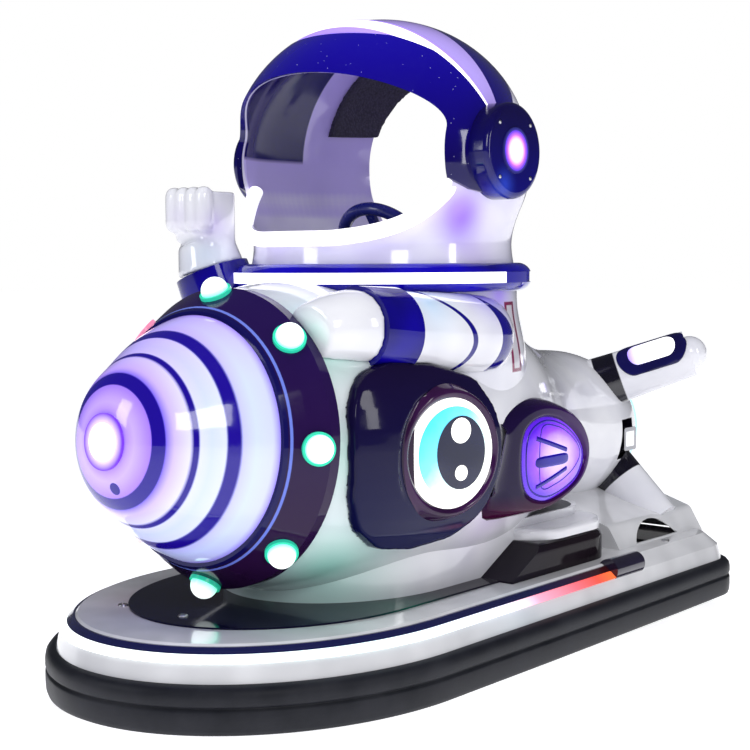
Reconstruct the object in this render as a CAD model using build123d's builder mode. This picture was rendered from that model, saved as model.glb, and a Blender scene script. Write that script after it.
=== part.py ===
"""Rocket-and-astronaut bumper car: a battery ride for one child, entered from behind.

Millimetres.  The nose points to -Y, +X is the car's left side and +Z is up.
The origin is on the floor under the middle of the base.
"""
from build123d import *
import os
from math import cos, radians, sin

os.makedirs("parts", exist_ok=True)


def save(block, name):
    """Label the finished sub-part and write its STEP file."""
    block.part.label = name
    export_step(block.part, f"parts/{name}.step")


def with_mirror(block):
    """The piece and its mirror image as one block of two solids."""
    with BuildPart() as both:
        add(block.part)
        mirror(block.part, about=Plane.YZ, mode=Mode.ADD)
    return both


def side_by_side(first, second):
    """Two separate pieces of one kind as one block."""
    with BuildPart() as both:
        add(first.part)
        add(second.part)
    return both


def closed_by_mirror(half):
    """A half and its mirror image as one solid that keeps an edge on the middle plane."""
    with BuildPart() as whole:
        add(half.part)
        add(half.part.mirror(Plane.YZ), clean=False)
    return whole


# ------------------------------------------------------------------ base
car_length = 1906
base_half_width = 460
base_rear_half_width = 451
nose_run = 570            # length of the rounded front of the plan
rear_corner_radius = 125
stern_bow = 12            # how far the stern edge curves outwards
bumper_floor_gap = 50
bumper_top = 146
bumper_depth = 55         # plan thickness of the rubber ring
bumper_top_round = 20
bumper_foot_round = 12
skirt_inset = 23
skirt_foot = 60           # lower edge of the hidden lower skirt
shoulder_inset = 33
shoulder_height = 183
deck_inset = 69
deck_height = 213
skin = 6                  # wall of the glass-fibre mouldings
deck_skin = 8
front_y = -car_length / 2
rear_y = car_length / 2

# light and trim strips on the shoulder
strip_end_y = 307
strip_proud = 5
light_band = (0.02, 0.47)   # share of the shoulder's slope under the light strip
trim_band = (0.50, 0.86)    # share of the slope under the dark trim
cap_radius = 27
cap_length = 130

# ------------------------------------------------------------------ rocket
rocket_tilt = 3.9
collar_centre = Vector(0, -568, 573)
rocket_wall = 8
# name: distance behind the collar's rear edge, radius
barrel_stations = (
    (0, 300),
    (110, 334),
    (260, 351),
    (450, 357),
    (620, 350),
    (780, 312),
    (900, 264),
    (1020, 228),
    (1150, 209),
    (1260, 207),
    (1350, 190),
    (1425, 162),
)
cabin_front_s = 0
cabin_rear_s = 880
collar_radius = 315
collar_lip_s = 26         # length of the collar's rear band
collar_front_s = 106      # collar's front edge, ahead of its rear edge
collar_front_radius = 262
dome_radius = 254
dome_stations = ((213, 190), (171, 250), (134, 297), (85, 324))   # radius, ahead of the collar
dome_length = 336
nose_lamp_radius = 37
nose_ring_radius = 56
lamp_ball_radius = 29
lamp_cup_radius = 34
lamp_ring_radius = 303
lamp_ring_s = 50
lamp_count = 8

keel_half_width = 262
keel_front_y = -500
keel_rear_y = 470
keel_bow = 330            # length of the foot's rounded front
keel_corner_radius = 120
keel_top = 330
insert_height = 4
insert_front_y = -765
insert_half_width = 314
plinth_height = 72
plinth_half_width = 350
plinth_front_y = -20
plinth_rear_y = 445
ledge_half_width = 338
ledge_thickness = 26
ledge_front_y = 110
plinth_corner_radius = 110
plinth_top_round = 22
ledge_corner_radius = 100
ledge_top_round = 11

# ------------------------------------------------------------------ flanks
eye_y = -300
eye_z = 537
eye_radius = 117
eye_iris_radius = 96
eye_pupil_radius = 67
eye_disc_thickness = 6

# ------------------------------------------------------------------ tail
exhaust_radius = 158
exhaust_length = 72
exhaust_ring_length = 14
saddle_z = 700            # floor of the step over the tail, where the rider climbs in
saddle_half_width = 200
saddle_front_y = 60
saddle_length = 330
tail_lamp_x = 178
tail_lamp_y = 752
tail_lamp_z = 461
tail_lamp_size = 62
tail_lamp_back = 20        # how far the lamp reaches in behind its centre
tail_lamp_depth = 46
tail_lamp_round = 6
tail_recess = (60, 84, 106)

# ------------------------------------------------------------------ astronaut
suit_y = -50              # vertical axis of torso, belt and helmet
belt_z = 905
belt_radius = 317
belt_tube = 32
belt_end_angle = 136      # where the belt ends on each side, from straight ahead
belt_groove = 5           # depth of the groove that holds the light
belt_light_height = 24
belt_light_depth = 6
belt_light_end_y = 60
neck_radius = 302
neck_z = 985
helmet_radius = 345
helmet_z = 1180
helmet_height = 318
torso_wall = 6
entry_y = 190             # plane of the rear entry
visor_proud = 8
hoop_angles = (72, 85)    # the light hoop over the crown, above straight ahead
hoop_proud = 8
ear_radius = 105
ear_round = 14
ear_y = -60
ear_lamp_thickness = 3
ear_x = 383
ear_lamp_height = 100
ear_lamp_width = 98
face_tube_radius = 17

# ------------------------------------------------------------------ seat and steering
seat_z = 500
seat_front_y = 30
seat_rear_y = 250
seat_half_width = 185
cushion_thickness = 50
wheel_centre = Vector(0, -34, 966)
column_angle = 35
wheel_ring_radius = 119
wheel_rim_radius = 15
column_radius = 11
column_length = 430
bush_clearance = 0.05

# ------------------------------------------------------------------ running gear
tyre_radius = 78
tyre_width = 46
rear_wheel_x = 300
rear_axle_y = 600
axle_radius = 10
drive_wheel_y = -470
fork_gap = 6
swivel_radius = 60
swivel_pin_radius = 14
rail = 30
rail_x = 215
frame_top = deck_height - deck_skin
plate_thickness = 8
battery_size = (330, 180, 170)


# ------------------------------------------------------------------ shared forms
def base_plan(inset, z):
    """Plan of the base at height z, pulled in by inset."""
    half = base_half_width - inset
    rear_half = base_rear_half_width - inset
    nose_y = front_y + nose_run
    stern_y = rear_y - stern_bow - inset
    with BuildSketch(Plane.XY.offset(z)) as plan:
        with BuildLine():
            EllipticalCenterArc((0, nose_y), half, nose_run - inset, 180, arc_size=180)
            side = Line((half, nose_y), (rear_half, stern_y))
            stern = ThreePointArc(side @ 1, (0, rear_y - inset), (-rear_half, stern_y))
            Line(stern @ 1, (-half, nose_y))
        make_face()
        fillet(vertices().group_by(Axis.Y)[-1], rear_corner_radius - inset)
    return plan.sketch


def base_block(lower_inset, lower_z, upper_inset, upper_z):
    """Solid between two plans of the base, as a separate block."""
    with BuildPart() as block:
        loft([base_plan(lower_inset, lower_z), base_plan(upper_inset, upper_z)], ruled=True)
    return block.part


def shoulder_at(share):
    """Inset and height of a point on the base's sloping shoulder."""
    inset = shoulder_inset + share * (deck_inset - shoulder_inset)
    height = shoulder_height + share * (deck_height - shoulder_height)
    return inset, height


tilt_cos = cos(radians(rocket_tilt))
tilt_sin = sin(radians(rocket_tilt))
rocket_forward = Vector(0, -tilt_cos, tilt_sin)
rocket_axis = Axis(collar_centre, rocket_forward)
# profile plane: local x is the radius towards +X, local y runs forward along the rocket
rocket_profile = Plane(origin=collar_centre, x_dir=(1, 0, 0), z_dir=(0, -tilt_sin, -tilt_cos))


def rocket_cross(forward):
    """Plane across the rocket, this far ahead of the collar's rear edge."""
    return Plane(
        origin=collar_centre + rocket_forward * forward, x_dir=(1, 0, 0), z_dir=rocket_forward
    )


def rocket_point(forward, side, up):
    """World point from rocket coordinates."""
    return rocket_cross(forward).from_local_coords(Vector(side, up, 0))


def barrel_solid(shrink, first_s, last_s):
    """The rocket's body of revolution between two stations, thinner by shrink."""
    with BuildPart() as block:
        with BuildSketch(rocket_profile):
            with BuildLine():
                skin_line = Spline(*[(radius - shrink, -s) for s, radius in barrel_stations])
                low = Line(skin_line @ 1, (0, -barrel_stations[-1][0]))
                middle = Line(low @ 1, (0, -barrel_stations[0][0]))
                Line(middle @ 1, skin_line @ 0)
            make_face()
            with Locations((250, -(first_s + last_s) / 2)):
                Rectangle(500, last_s - first_s, mode=Mode.INTERSECT)
        revolve(axis=rocket_axis)
    return block.part


def keel_solid(shrink, top):
    """The foot that joins the rocket to the deck, thinner by shrink."""
    half = keel_half_width - shrink
    bow = keel_front_y + keel_bow
    with BuildPart() as block:
        with BuildSketch(Plane.XY.offset(deck_height + insert_height)):
            with BuildLine():
                EllipticalCenterArc((0, bow), half, keel_bow - shrink, 180, arc_size=180)
                side = Line((half, bow), (half, keel_rear_y - shrink))
                back = Line(side @ 1, (-half, keel_rear_y - shrink))
                Line(back @ 1, (-half, bow))
            make_face()
            fillet(vertices().group_by(Axis.Y)[-1], keel_corner_radius)
        extrude(amount=top - deck_height - insert_height)
    return block.part


suit_axis = Axis((0, suit_y, 0), (0, 0, 1))
suit_profile = Plane(origin=(0, suit_y, 0), x_dir=(0, -1, 0), z_dir=(-1, 0, 0))
suit_foot_z = 600


def suit_solid(shrink, foot_z):
    """Torso, neck and helmet as one body of revolution, smaller by shrink."""
    with BuildPart() as block:
        with BuildSketch(suit_profile):
            with BuildLine():
                body = Spline(
                    (336 - shrink, foot_z),
                    (336 - shrink, 730),
                    (317 - shrink, 830),
                    (312 - shrink, belt_z),
                    (neck_radius - shrink, neck_z),
                    (318 - shrink, 1050),
                    (helmet_radius - shrink, helmet_z),
                    tangents=[(0, 1), (0, 1)],
                )
                EllipticalCenterArc(
                    (0, helmet_z), helmet_radius - shrink, helmet_height - shrink, 0, arc_size=90
                )
                Line((0, helmet_z + helmet_height - shrink), (0, foot_z))
                Line((0, foot_z), body @ 0)
            make_face()
        revolve(axis=suit_axis)
    return block.part


def suit_plane(angle):
    """Upright plane through the suit's axis; local x is the radius at this angle."""
    outwards = Vector(sin(radians(angle)), -cos(radians(angle)), 0)
    return Plane(origin=(0, suit_y, 0), x_dir=outwards, z_dir=outwards.cross(Vector(0, 0, 1)))


def suit_point(angle, radius, z):
    """World point at this angle from straight ahead, towards the left side."""
    return Vector(radius * sin(radians(angle)), suit_y - radius * cos(radians(angle)), z)


barrel_outer = barrel_solid(0, barrel_stations[0][0], barrel_stations[-1][0])
keel_outer = keel_solid(0, keel_top)
suit_outer = suit_solid(0, suit_foot_z)
suit_inner = suit_solid(torso_wall, suit_foot_z)


# ================================================================== base
with BuildPart() as bumper_ring:
    extrude(base_plan(0, bumper_floor_gap), amount=bumper_top - bumper_floor_gap)
    fillet(faces().sort_by(Axis.Z)[-1].edges(), bumper_top_round)
    fillet(faces().sort_by(Axis.Z)[0].edges(), bumper_foot_round)
    extrude(
        base_plan(bumper_depth, bumper_floor_gap),
        amount=bumper_top - bumper_floor_gap,
        mode=Mode.SUBTRACT,
    )
save(bumper_ring, "bumper_ring")

# the stern fairing under the tail, seen from behind
stern_half_width = 338
stern_front_y = 480
stern_rear_y = 912
stern_shoulder = (300, 268)
stern_ridge = (112, 328)
stern_round = 24


def stern_outline(shrink, y):
    """Cross-section of the stern fairing at y, closed below the deck."""
    foot = deck_height - deck_skin
    with BuildSketch(Plane.XZ.offset(-y)) as outline:
        with BuildLine():
            FilletPolyline(
                (-stern_half_width + shrink, foot),
                (-stern_shoulder[0] + shrink, stern_shoulder[1] - shrink),
                (-stern_ridge[0], stern_ridge[1] - shrink),
                (stern_ridge[0], stern_ridge[1] - shrink),
                (stern_shoulder[0] - shrink, stern_shoulder[1] - shrink),
                (stern_half_width - shrink, foot),
                radius=stern_round,
            )
            Line((stern_half_width - shrink, foot), (-stern_half_width + shrink, foot))
        make_face()
    return outline.sketch


with BuildPart() as stern_body:
    extrude(stern_outline(0, stern_rear_y), amount=stern_rear_y - stern_front_y)
    with Locations((0, 0, 0)):
        Box(
            2 * car_length,
            2 * car_length,
            deck_height,
            align=(Align.CENTER, Align.CENTER, Align.MIN),
        )
stern_block = stern_body.part

pocket_y = 675
pocket_length = 216
pocket_height = 48
pocket_floor = deck_height + 3

with BuildPart() as base_shell:
    add(base_block(skirt_inset, bumper_top, shoulder_inset, shoulder_height))
    add(base_block(shoulder_inset, shoulder_height, deck_inset, deck_height))
    extrude(base_plan(bumper_depth, skirt_foot), amount=bumper_top - skirt_foot)
    extrude(stern_outline(0, stern_rear_y), amount=stern_rear_y - stern_front_y)
    # hollow underside
    extrude(
        base_plan(bumper_depth + skin, skirt_foot),
        amount=bumper_top + skin - skirt_foot,
        mode=Mode.SUBTRACT,
    )
    add(
        base_block(shoulder_inset + skin, bumper_top + skin, shoulder_inset + skin, shoulder_height),
        mode=Mode.SUBTRACT,
    )
    add(
        base_block(
            shoulder_inset + skin, shoulder_height, deck_inset + skin, deck_height - deck_skin
        ),
        mode=Mode.SUBTRACT,
    )
    extrude(
        stern_outline(skin, stern_rear_y - skin),
        amount=stern_rear_y - stern_front_y - 2 * skin,
        mode=Mode.SUBTRACT,
    )
    # half-moon pockets through the fairing's sides
    with BuildSketch(Plane.YZ):
        with BuildLine():
            floor = Line(
                (pocket_y - pocket_length / 2, pocket_floor),
                (pocket_y + pocket_length / 2, pocket_floor),
            )
            ThreePointArc(floor @ 1, (pocket_y + 10, pocket_floor + pocket_height), floor @ 0)
        make_face()
    extrude(amount=base_half_width, both=True, mode=Mode.SUBTRACT)
save(base_shell, "base_shell")


def shoulder_strip(band, proud):
    """A strip lying on the base's shoulder, open behind strip_end_y."""
    low_inset, low_z = shoulder_at(band[0])
    high_inset, high_z = shoulder_at(band[1])
    with BuildPart() as strip:
        add(base_block(low_inset - proud, low_z, high_inset - proud, high_z))
        add(base_block(low_inset, low_z, high_inset, high_z), mode=Mode.SUBTRACT)
        with Locations((0, front_y - 100, 0)):
            Box(
                car_length,
                strip_end_y - front_y + 100,
                2 * deck_height,
                align=(Align.CENTER, Align.MIN, Align.CENTER),
                mode=Mode.INTERSECT,
            )
    return strip


base_light_strip = shoulder_strip(light_band, strip_proud)
save(base_light_strip, "base_light_strip")
base_trim_strip = shoulder_strip(trim_band, strip_proud)
save(base_trim_strip, "base_trim_strip")

with BuildPart() as strip_end_caps:
    cap_x = base_half_width - (shoulder_inset + deck_inset) / 2 - 6
    with BuildSketch(Plane.XZ.offset(-strip_end_y)):
        with Locations((cap_x, deck_height - 14), (-cap_x, deck_height - 14)):
            Circle(cap_radius)
    extrude(amount=-cap_length)
    add(base_block(skirt_inset, bumper_top, shoulder_inset, shoulder_height), mode=Mode.SUBTRACT)
    add(base_block(shoulder_inset, shoulder_height, deck_inset, deck_height), mode=Mode.SUBTRACT)
save(strip_end_caps, "strip_end_caps")

# ------------------------------------------------------------------ deck insert and plinth
insert_top = deck_height + insert_height
plinth_top = deck_height + plinth_height
with BuildPart() as deck_plinth:
    with BuildSketch(Plane.XY.offset(deck_height)):
        with BuildLine():
            shoulder_y = insert_front_y + 400
            EllipticalCenterArc((0, shoulder_y), insert_half_width, 400, 180, arc_size=180)
            left = Line((insert_half_width, shoulder_y), (insert_half_width, plinth_front_y))
            back = Line(left @ 1, (-insert_half_width, plinth_front_y))
            Line(back @ 1, (-insert_half_width, shoulder_y))
        make_face()
    extrude(amount=insert_height)
    with BuildSketch(Plane.YZ):
        with BuildLine():
            Polyline(
                (plinth_front_y, deck_height),
                (plinth_front_y, insert_top),
                (ledge_front_y, plinth_top),
                (plinth_rear_y, plinth_top),
                (plinth_rear_y, deck_height),
                close=True,
            )
        make_face()
    extrude(amount=plinth_half_width, both=True)
    fillet(edges().filter_by(Axis.Z).group_by(Axis.Y)[-1], plinth_corner_radius)
    fillet(faces().sort_by(Axis.Z)[-1].edges(), plinth_top_round)
    add(keel_outer, mode=Mode.SUBTRACT)
    add(barrel_outer, mode=Mode.SUBTRACT)
save(deck_plinth, "deck_plinth")

with BuildPart() as ledge_block:
    with BuildSketch(Plane.XY.offset(plinth_top)):
        with Locations((0, (ledge_front_y + plinth_rear_y) / 2)):
            Rectangle(2 * ledge_half_width, plinth_rear_y - ledge_front_y)
        fillet(vertices(), ledge_corner_radius)
    extrude(amount=ledge_thickness)
    fillet(faces().sort_by(Axis.Z)[-1].edges(), ledge_top_round)

# ================================================================== rocket body
with BuildPart() as rocket_shell:
    add(barrel_outer)
    add(keel_outer)
    add(ledge_block.part)
    add(barrel_solid(rocket_wall, cabin_front_s, cabin_rear_s), mode=Mode.SUBTRACT)
    add(keel_solid(rocket_wall, keel_top), mode=Mode.SUBTRACT)
    # the suit stands in a round opening in the top of the barrel
    with BuildSketch(Plane.XY.offset(collar_centre.Z)):
        with Locations((0, suit_y)):
            Circle(helmet_radius - 15 - torso_wall)
    extrude(amount=500, mode=Mode.SUBTRACT)
    # step over the tail into the rear entry
    with BuildSketch(Plane.XY.offset(saddle_z)):
        with Locations((0, saddle_front_y)):
            RectangleRounded(2 * saddle_half_width, saddle_length, 60, align=(Align.CENTER, Align.MIN))
    extrude(amount=collar_centre.Z, mode=Mode.SUBTRACT)
    # recesses for the tail lamps
    with Locations(*[(side * tail_lamp_x, tail_lamp_y, tail_lamp_z) for side in (-1, 1)]):
        Box(*tail_recess, mode=Mode.SUBTRACT)
    # nothing hangs below the deck insert
    with Locations((0, 0, insert_top)):
        Box(
            2 * car_length,
            2 * car_length,
            car_length,
            align=(Align.CENTER, Align.CENTER, Align.MAX),
            mode=Mode.SUBTRACT,
        )
    add(stern_block, mode=Mode.SUBTRACT)
save(rocket_shell, "rocket_shell")

with BuildPart() as nose_dome:
    with BuildSketch(rocket_profile):
        with BuildLine():
            flank = Spline(
                (dome_radius, collar_front_s),
                *dome_stations,
                (0, dome_length),
                tangents=[(-0.35, 1), (-1, 0)],
            )
            axis_line = Line(flank @ 1, (0, collar_front_s))
            Line(axis_line @ 1, flank @ 0)
        make_face()
    revolve(axis=rocket_axis)
save(nose_dome, "nose_dome")

with BuildPart() as collar_ring:
    with BuildSketch(rocket_profile):
        with BuildLine():
            Polyline(
                (dome_radius - 40, 0),
                (dome_radius - 40, collar_front_s - 12),
                (dome_radius, collar_front_s),
                (collar_front_radius, collar_front_s),
                (collar_front_radius + 26, collar_lip_s + 42),
                (collar_radius, collar_lip_s),
                (collar_radius, 0),
                close=True,
            )
        make_face()
    revolve(axis=rocket_axis)
save(collar_ring, "collar_ring")


# ------------------------------------------------------------------ lamps of nose and collar
with BuildPart() as nose_lamp_ring:
    with BuildSketch(rocket_cross(dome_length - 24)):
        Circle(nose_ring_radius)
        Circle(nose_lamp_radius, mode=Mode.SUBTRACT)
    extrude(amount=26)
    add(nose_dome.part, mode=Mode.SUBTRACT)
save(nose_lamp_ring, "nose_lamp_ring")

with BuildPart() as nose_lamp:
    with BuildSketch(rocket_cross(dome_length - 10)):
        Circle(nose_lamp_radius)
    extrude(amount=16)
    add(nose_dome.part, mode=Mode.SUBTRACT)
save(nose_lamp, "nose_lamp")

lamp_lean = 32            # how far the ball lamps lean towards the nose
lamp_planes = []
for index in range(lamp_count):
    turn = radians(360 / lamp_count * index)
    outwards = rocket_cross(0).x_dir * sin(turn) + rocket_cross(0).y_dir * cos(turn)
    seat_point = rocket_point(lamp_ring_s, 0, 0) + outwards * lamp_ring_radius
    lean = outwards * cos(radians(lamp_lean)) + rocket_forward * sin(radians(lamp_lean))
    lamp_planes.append(Plane(origin=seat_point, z_dir=lean))

with BuildPart() as collar_lamp_cups:
    for plane in lamp_planes:
        with BuildSketch(plane.offset(-10)):
            Circle(lamp_cup_radius)
        extrude(amount=14)
    add(collar_ring.part, mode=Mode.SUBTRACT)
    add(barrel_outer, mode=Mode.SUBTRACT)
save(collar_lamp_cups, "collar_lamp_cups")

with BuildPart() as collar_lamps:
    for plane in lamp_planes:
        with Locations(plane.offset(4)):
            Sphere(lamp_ball_radius, arc_size1=0, align=(Align.CENTER, Align.CENTER, Align.MIN))
save(collar_lamps, "collar_lamps")


# ================================================================== flanks
housing_proud = 26
housing_outline = (
    (-545, 560),
    (-540, 650),
    (-500, 716),
    (-420, 736),
    (-300, 727),
    (-175, 694),
    (-93, 625),
    (-66, 560),
    (-75, 480),
    (-118, 400),
    (-215, 345),
    (-330, 334),
    (-430, 348),
    (-505, 400),
    (-538, 470),
)
housing_round = 88
recess_radius = 138
recess_x = 352
flank_inner_x = 200       # the flank pieces are cut from their skins between these planes
flank_outer_x = 450
housing_front_s = 12
soft_gap = 0.3            # left free between pieces that rest on each other's curved faces
pod_gap = 5               # groove between the eye housing and the side pod


def flank_prism(outline, round_radius, grow=0):
    """Prism along X through the left flank, on a closed outline in Y and Z with rounded corners."""
    with BuildPart() as prism:
        with BuildSketch(Plane.YZ.offset(flank_inner_x)):
            with BuildLine():
                FilletPolyline(*outline, radius=round_radius, close=True)
            make_face()
            if grow:
                offset(amount=grow)
        extrude(amount=flank_outer_x - flank_inner_x)
    return prism.part


housing_skin = barrel_solid(-housing_proud, housing_front_s, 700)
with BuildPart() as eye_housing_left:
    add(housing_skin)
    add(flank_prism(housing_outline, housing_round), mode=Mode.INTERSECT)
    add(barrel_outer, mode=Mode.SUBTRACT)
    with BuildSketch(Plane.YZ.offset(recess_x)):
        with Locations((eye_y, eye_z)):
            Circle(recess_radius)
    extrude(amount=60, mode=Mode.SUBTRACT)
save(with_mirror(eye_housing_left), "eye_housings")


def eye_disc(radius, first_x, thickness, shift=0, rise=0):
    """A round plate of the eye, standing on the recess floor."""
    with BuildPart() as plate:
        with BuildSketch(Plane.YZ.offset(first_x)):
            with Locations((eye_y + shift, eye_z + rise)):
                Circle(radius)
        extrude(amount=thickness)
    return plate


with BuildPart() as eye_lamp:
    add(eye_disc(eye_radius, recess_x, eye_disc_thickness).part)
    add(barrel_outer, mode=Mode.SUBTRACT)
eye_iris = eye_disc(eye_iris_radius, recess_x + eye_disc_thickness, 2, shift=4)
eye_pupil = eye_disc(eye_pupil_radius, recess_x + eye_disc_thickness + 2, 2, shift=10)
save(with_mirror(eye_lamp), "eye_lamps")
save(with_mirror(eye_iris), "eye_irises")
save(with_mirror(eye_pupil), "eye_pupils")

pod_outline = (
    (-60, 585),
    (-15, 612),
    (85, 623),
    (217, 597),
    (306, 546),
    (324, 492),
    (270, 427),
    (120, 374),
    (-43, 361),
    (-110, 390),
    (-115, 480),
)
pod_round = 50
pod_proud = 34
pod_skin = barrel_solid(-pod_proud, 420, 1000)
with BuildPart() as side_pod_left:
    add(pod_skin)
    add(flank_prism(pod_outline, pod_round), mode=Mode.INTERSECT)
    add(barrel_solid(-soft_gap, 0, barrel_stations[-1][0]), mode=Mode.SUBTRACT)
    add(flank_prism(housing_outline, housing_round, pod_gap), mode=Mode.SUBTRACT)
save(with_mirror(side_pod_left), "side_pods")

lens_outline = (
    (-8, 490),
    (8, 562),
    (77, 588),
    (165, 568),
    (240, 522),
    (266, 474),
    (235, 430),
    (160, 402),
    (78, 392),
    (8, 414),
)
lens_round = 40
lens_proud = 5
with BuildPart() as pod_lens_left:
    add(barrel_solid(-pod_proud - lens_proud, 420, 1000))
    add(flank_prism(lens_outline, lens_round), mode=Mode.INTERSECT)
    add(pod_skin, mode=Mode.SUBTRACT)
save(with_mirror(pod_lens_left), "pod_lenses")

# ================================================================== tail
fin_root = Vector(118, 722, 606)
fin_tip = Vector(330, 842, 692)
fin_span = fin_tip - fin_root
fin_root_radii = (74, 56)
fin_tip_radii = (62, 46)


def fin_section(share, radii):
    """Elliptical section of the upper fin at this share of its span."""
    plane = Plane(origin=fin_root + fin_span * share, x_dir=(-0.25, 0, 1), z_dir=fin_span)
    with BuildSketch(plane) as section:
        Ellipse(*radii)
    return section.sketch


with BuildPart() as upper_fin_left:
    loft(
        [
            fin_section(-0.2, fin_root_radii),
            fin_section(0.3, (68, 50)),
            fin_section(1.0, fin_tip_radii),
        ]
    )
    with Locations(Plane(origin=fin_tip, x_dir=(-0.25, 0, 1), z_dir=fin_span)):
        Sphere(fin_tip_radii[1])
    add(barrel_outer, mode=Mode.SUBTRACT)
save(with_mirror(upper_fin_left), "upper_fins")

fin_lamp_plane = Plane(
    origin=fin_root + fin_span * 0.62, x_dir=fin_span, z_dir=Vector(0.18, -0.62, 0.76)
)


def fin_window(length, width, proud):
    """A patch of the fin's skin under its lamp window, standing proud of it."""
    with BuildPart() as window:
        loft(
            [
                fin_section(-0.2, [r + proud for r in fin_root_radii]),
                fin_section(0.3, (68 + proud, 50 + proud)),
                fin_section(1.0, [r + proud for r in fin_tip_radii]),
            ]
        )
        with Locations(Plane(origin=fin_tip, x_dir=(-0.25, 0, 1), z_dir=fin_span)):
            Sphere(fin_tip_radii[1] + proud)
        with BuildSketch(fin_lamp_plane):
            RectangleRounded(length, width, width / 2 - 1)
        extrude(amount=200, mode=Mode.INTERSECT)
    return window


with BuildPart() as fin_frame_left:
    add(fin_window(190, 86, 3).part)
    add(upper_fin_left.part, mode=Mode.SUBTRACT)
save(with_mirror(fin_frame_left), "fin_lamp_frames")
with BuildPart() as fin_lamp_left:
    add(fin_window(128, 54, 6).part)
    add(fin_window(190, 86, 3).part, mode=Mode.SUBTRACT)
save(with_mirror(fin_lamp_left), "fin_lamps")

lower_fin_top = Vector(112, 770, 392)
lower_fin_foot = Vector(262, 786, 232)
lower_fin_radii = (62, 72)
with BuildPart() as lower_fin_left:
    for_span = lower_fin_foot - lower_fin_top
    with BuildSketch(Plane(origin=lower_fin_top, x_dir=(0, 1, 0), z_dir=for_span)):
        Ellipse(*lower_fin_radii)
    extrude(amount=for_span.length)
    add(barrel_outer, mode=Mode.SUBTRACT)
    add(stern_block, mode=Mode.SUBTRACT)
save(with_mirror(lower_fin_left), "lower_fins")

with BuildPart() as tail_lamp_left:
    with Locations((tail_lamp_x - tail_lamp_back, tail_lamp_y, tail_lamp_z)):
        Box(
            tail_lamp_depth,
            tail_lamp_size,
            tail_lamp_size,
            align=(Align.MIN, Align.CENTER, Align.CENTER),
        )
    fillet(edges().filter_by(Axis.X), tail_lamp_round)
save(with_mirror(tail_lamp_left), "tail_lamps")

with BuildPart() as exhaust_ring:
    with BuildSketch(rocket_profile):
        with Locations((exhaust_radius - 8, -barrel_stations[-1][0])):
            Rectangle(16, exhaust_ring_length, align=(Align.CENTER, Align.MAX))
    revolve(axis=rocket_axis)
    add(stern_block, mode=Mode.SUBTRACT)
save(exhaust_ring, "exhaust_ring")

with BuildPart() as exhaust_dome:
    with BuildSketch(rocket_profile):
        with BuildLine():
            rim = -barrel_stations[-1][0]
            cap = Spline(
                (exhaust_radius - 16, rim),
                (exhaust_radius * 0.62, rim - exhaust_length * 0.7),
                (0, rim - exhaust_length),
                tangents=[(-0.2, -1), (-1, 0)],
            )
            axis_line = Line(cap @ 1, (0, rim))
            Line(axis_line @ 1, cap @ 0)
        make_face()
    revolve(axis=rocket_axis)
save(exhaust_dome, "exhaust_dome")

# ================================================================== astronaut
entry_box = (2 * helmet_radius, 400, 2 * helmet_z)
with BuildPart() as torso_shell:
    add(suit_outer)
    add(suit_inner, mode=Mode.SUBTRACT)
    add(barrel_outer, mode=Mode.SUBTRACT)
    with Locations((0, 0, belt_z)):
        Box(2000, 2000, 800, align=(Align.CENTER, Align.CENTER, Align.MIN), mode=Mode.SUBTRACT)
    with Locations((0, entry_y, saddle_z)):
        Box(*entry_box, align=(Align.CENTER, Align.MIN, Align.MIN), mode=Mode.SUBTRACT)
save(torso_shell, "torso_shell")


opening_half_width = 310
opening_arch_height = 127
opening_low_z = 1120
opening_high_z = 1225


def face_opening(grow):
    """Front view of the face opening, larger by grow, as a prism through the helmet's front."""
    with BuildPart() as prism:
        half_width = opening_half_width + grow
        half_height = opening_arch_height + grow
        with BuildSketch(Plane.XZ.offset(-suit_y + 40)):
            with BuildLine():
                EllipticalCenterArc((0, opening_low_z), half_width, half_height, 180, arc_size=180)
                Line((half_width, opening_low_z), (half_width, opening_high_z))
                EllipticalCenterArc((0, opening_high_z), half_width, half_height, 0, arc_size=180)
                Line((-half_width, opening_high_z), (-half_width, opening_low_z))
            make_face()
        extrude(amount=helmet_radius + 60)
    return prism.part


tube_points = (
    (298, -166, 1111),
    (291, -184, 1094),
    (259, -238, 1044),
    (199, -301, 1008),
    (124, -345, 994),
)
tube_path = Spline(
    *tube_points,
    (0, -360, 992),
    tangents=[Vector(*tube_points[1]) - Vector(*tube_points[0]), (-1, 0, 0)],
)
tube_seat_gap = 0.2


def tube_sweep(radius):
    """Left half of the rolled edge under the face opening."""
    with BuildPart() as half:
        with BuildSketch(Plane(origin=tube_path @ 0, z_dir=tube_path % 0)):
            Circle(radius)
        sweep(path=tube_path)
    return half


face_tube = closed_by_mirror(tube_sweep(face_tube_radius))
space = 2000              # larger than the whole car
with BuildPart() as helmet_half:
    add(suit_outer)
    add(suit_inner, mode=Mode.SUBTRACT)
    with Locations((0, 0, belt_z)):
        Box(space, space, space, align=(Align.CENTER, Align.CENTER, Align.MAX), mode=Mode.SUBTRACT)
    with Locations((0, entry_y, saddle_z)):
        Box(*entry_box, align=(Align.CENTER, Align.MIN, Align.MIN), mode=Mode.SUBTRACT)
    add(face_opening(0), mode=Mode.SUBTRACT)
    add(tube_sweep(face_tube_radius + tube_seat_gap).part, mode=Mode.SUBTRACT)
    Box(space, space, 2 * space, align=(Align.MAX, Align.CENTER, Align.CENTER), mode=Mode.SUBTRACT)
helmet_shell = closed_by_mirror(helmet_half)
save(helmet_shell, "helmet_shell")

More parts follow.
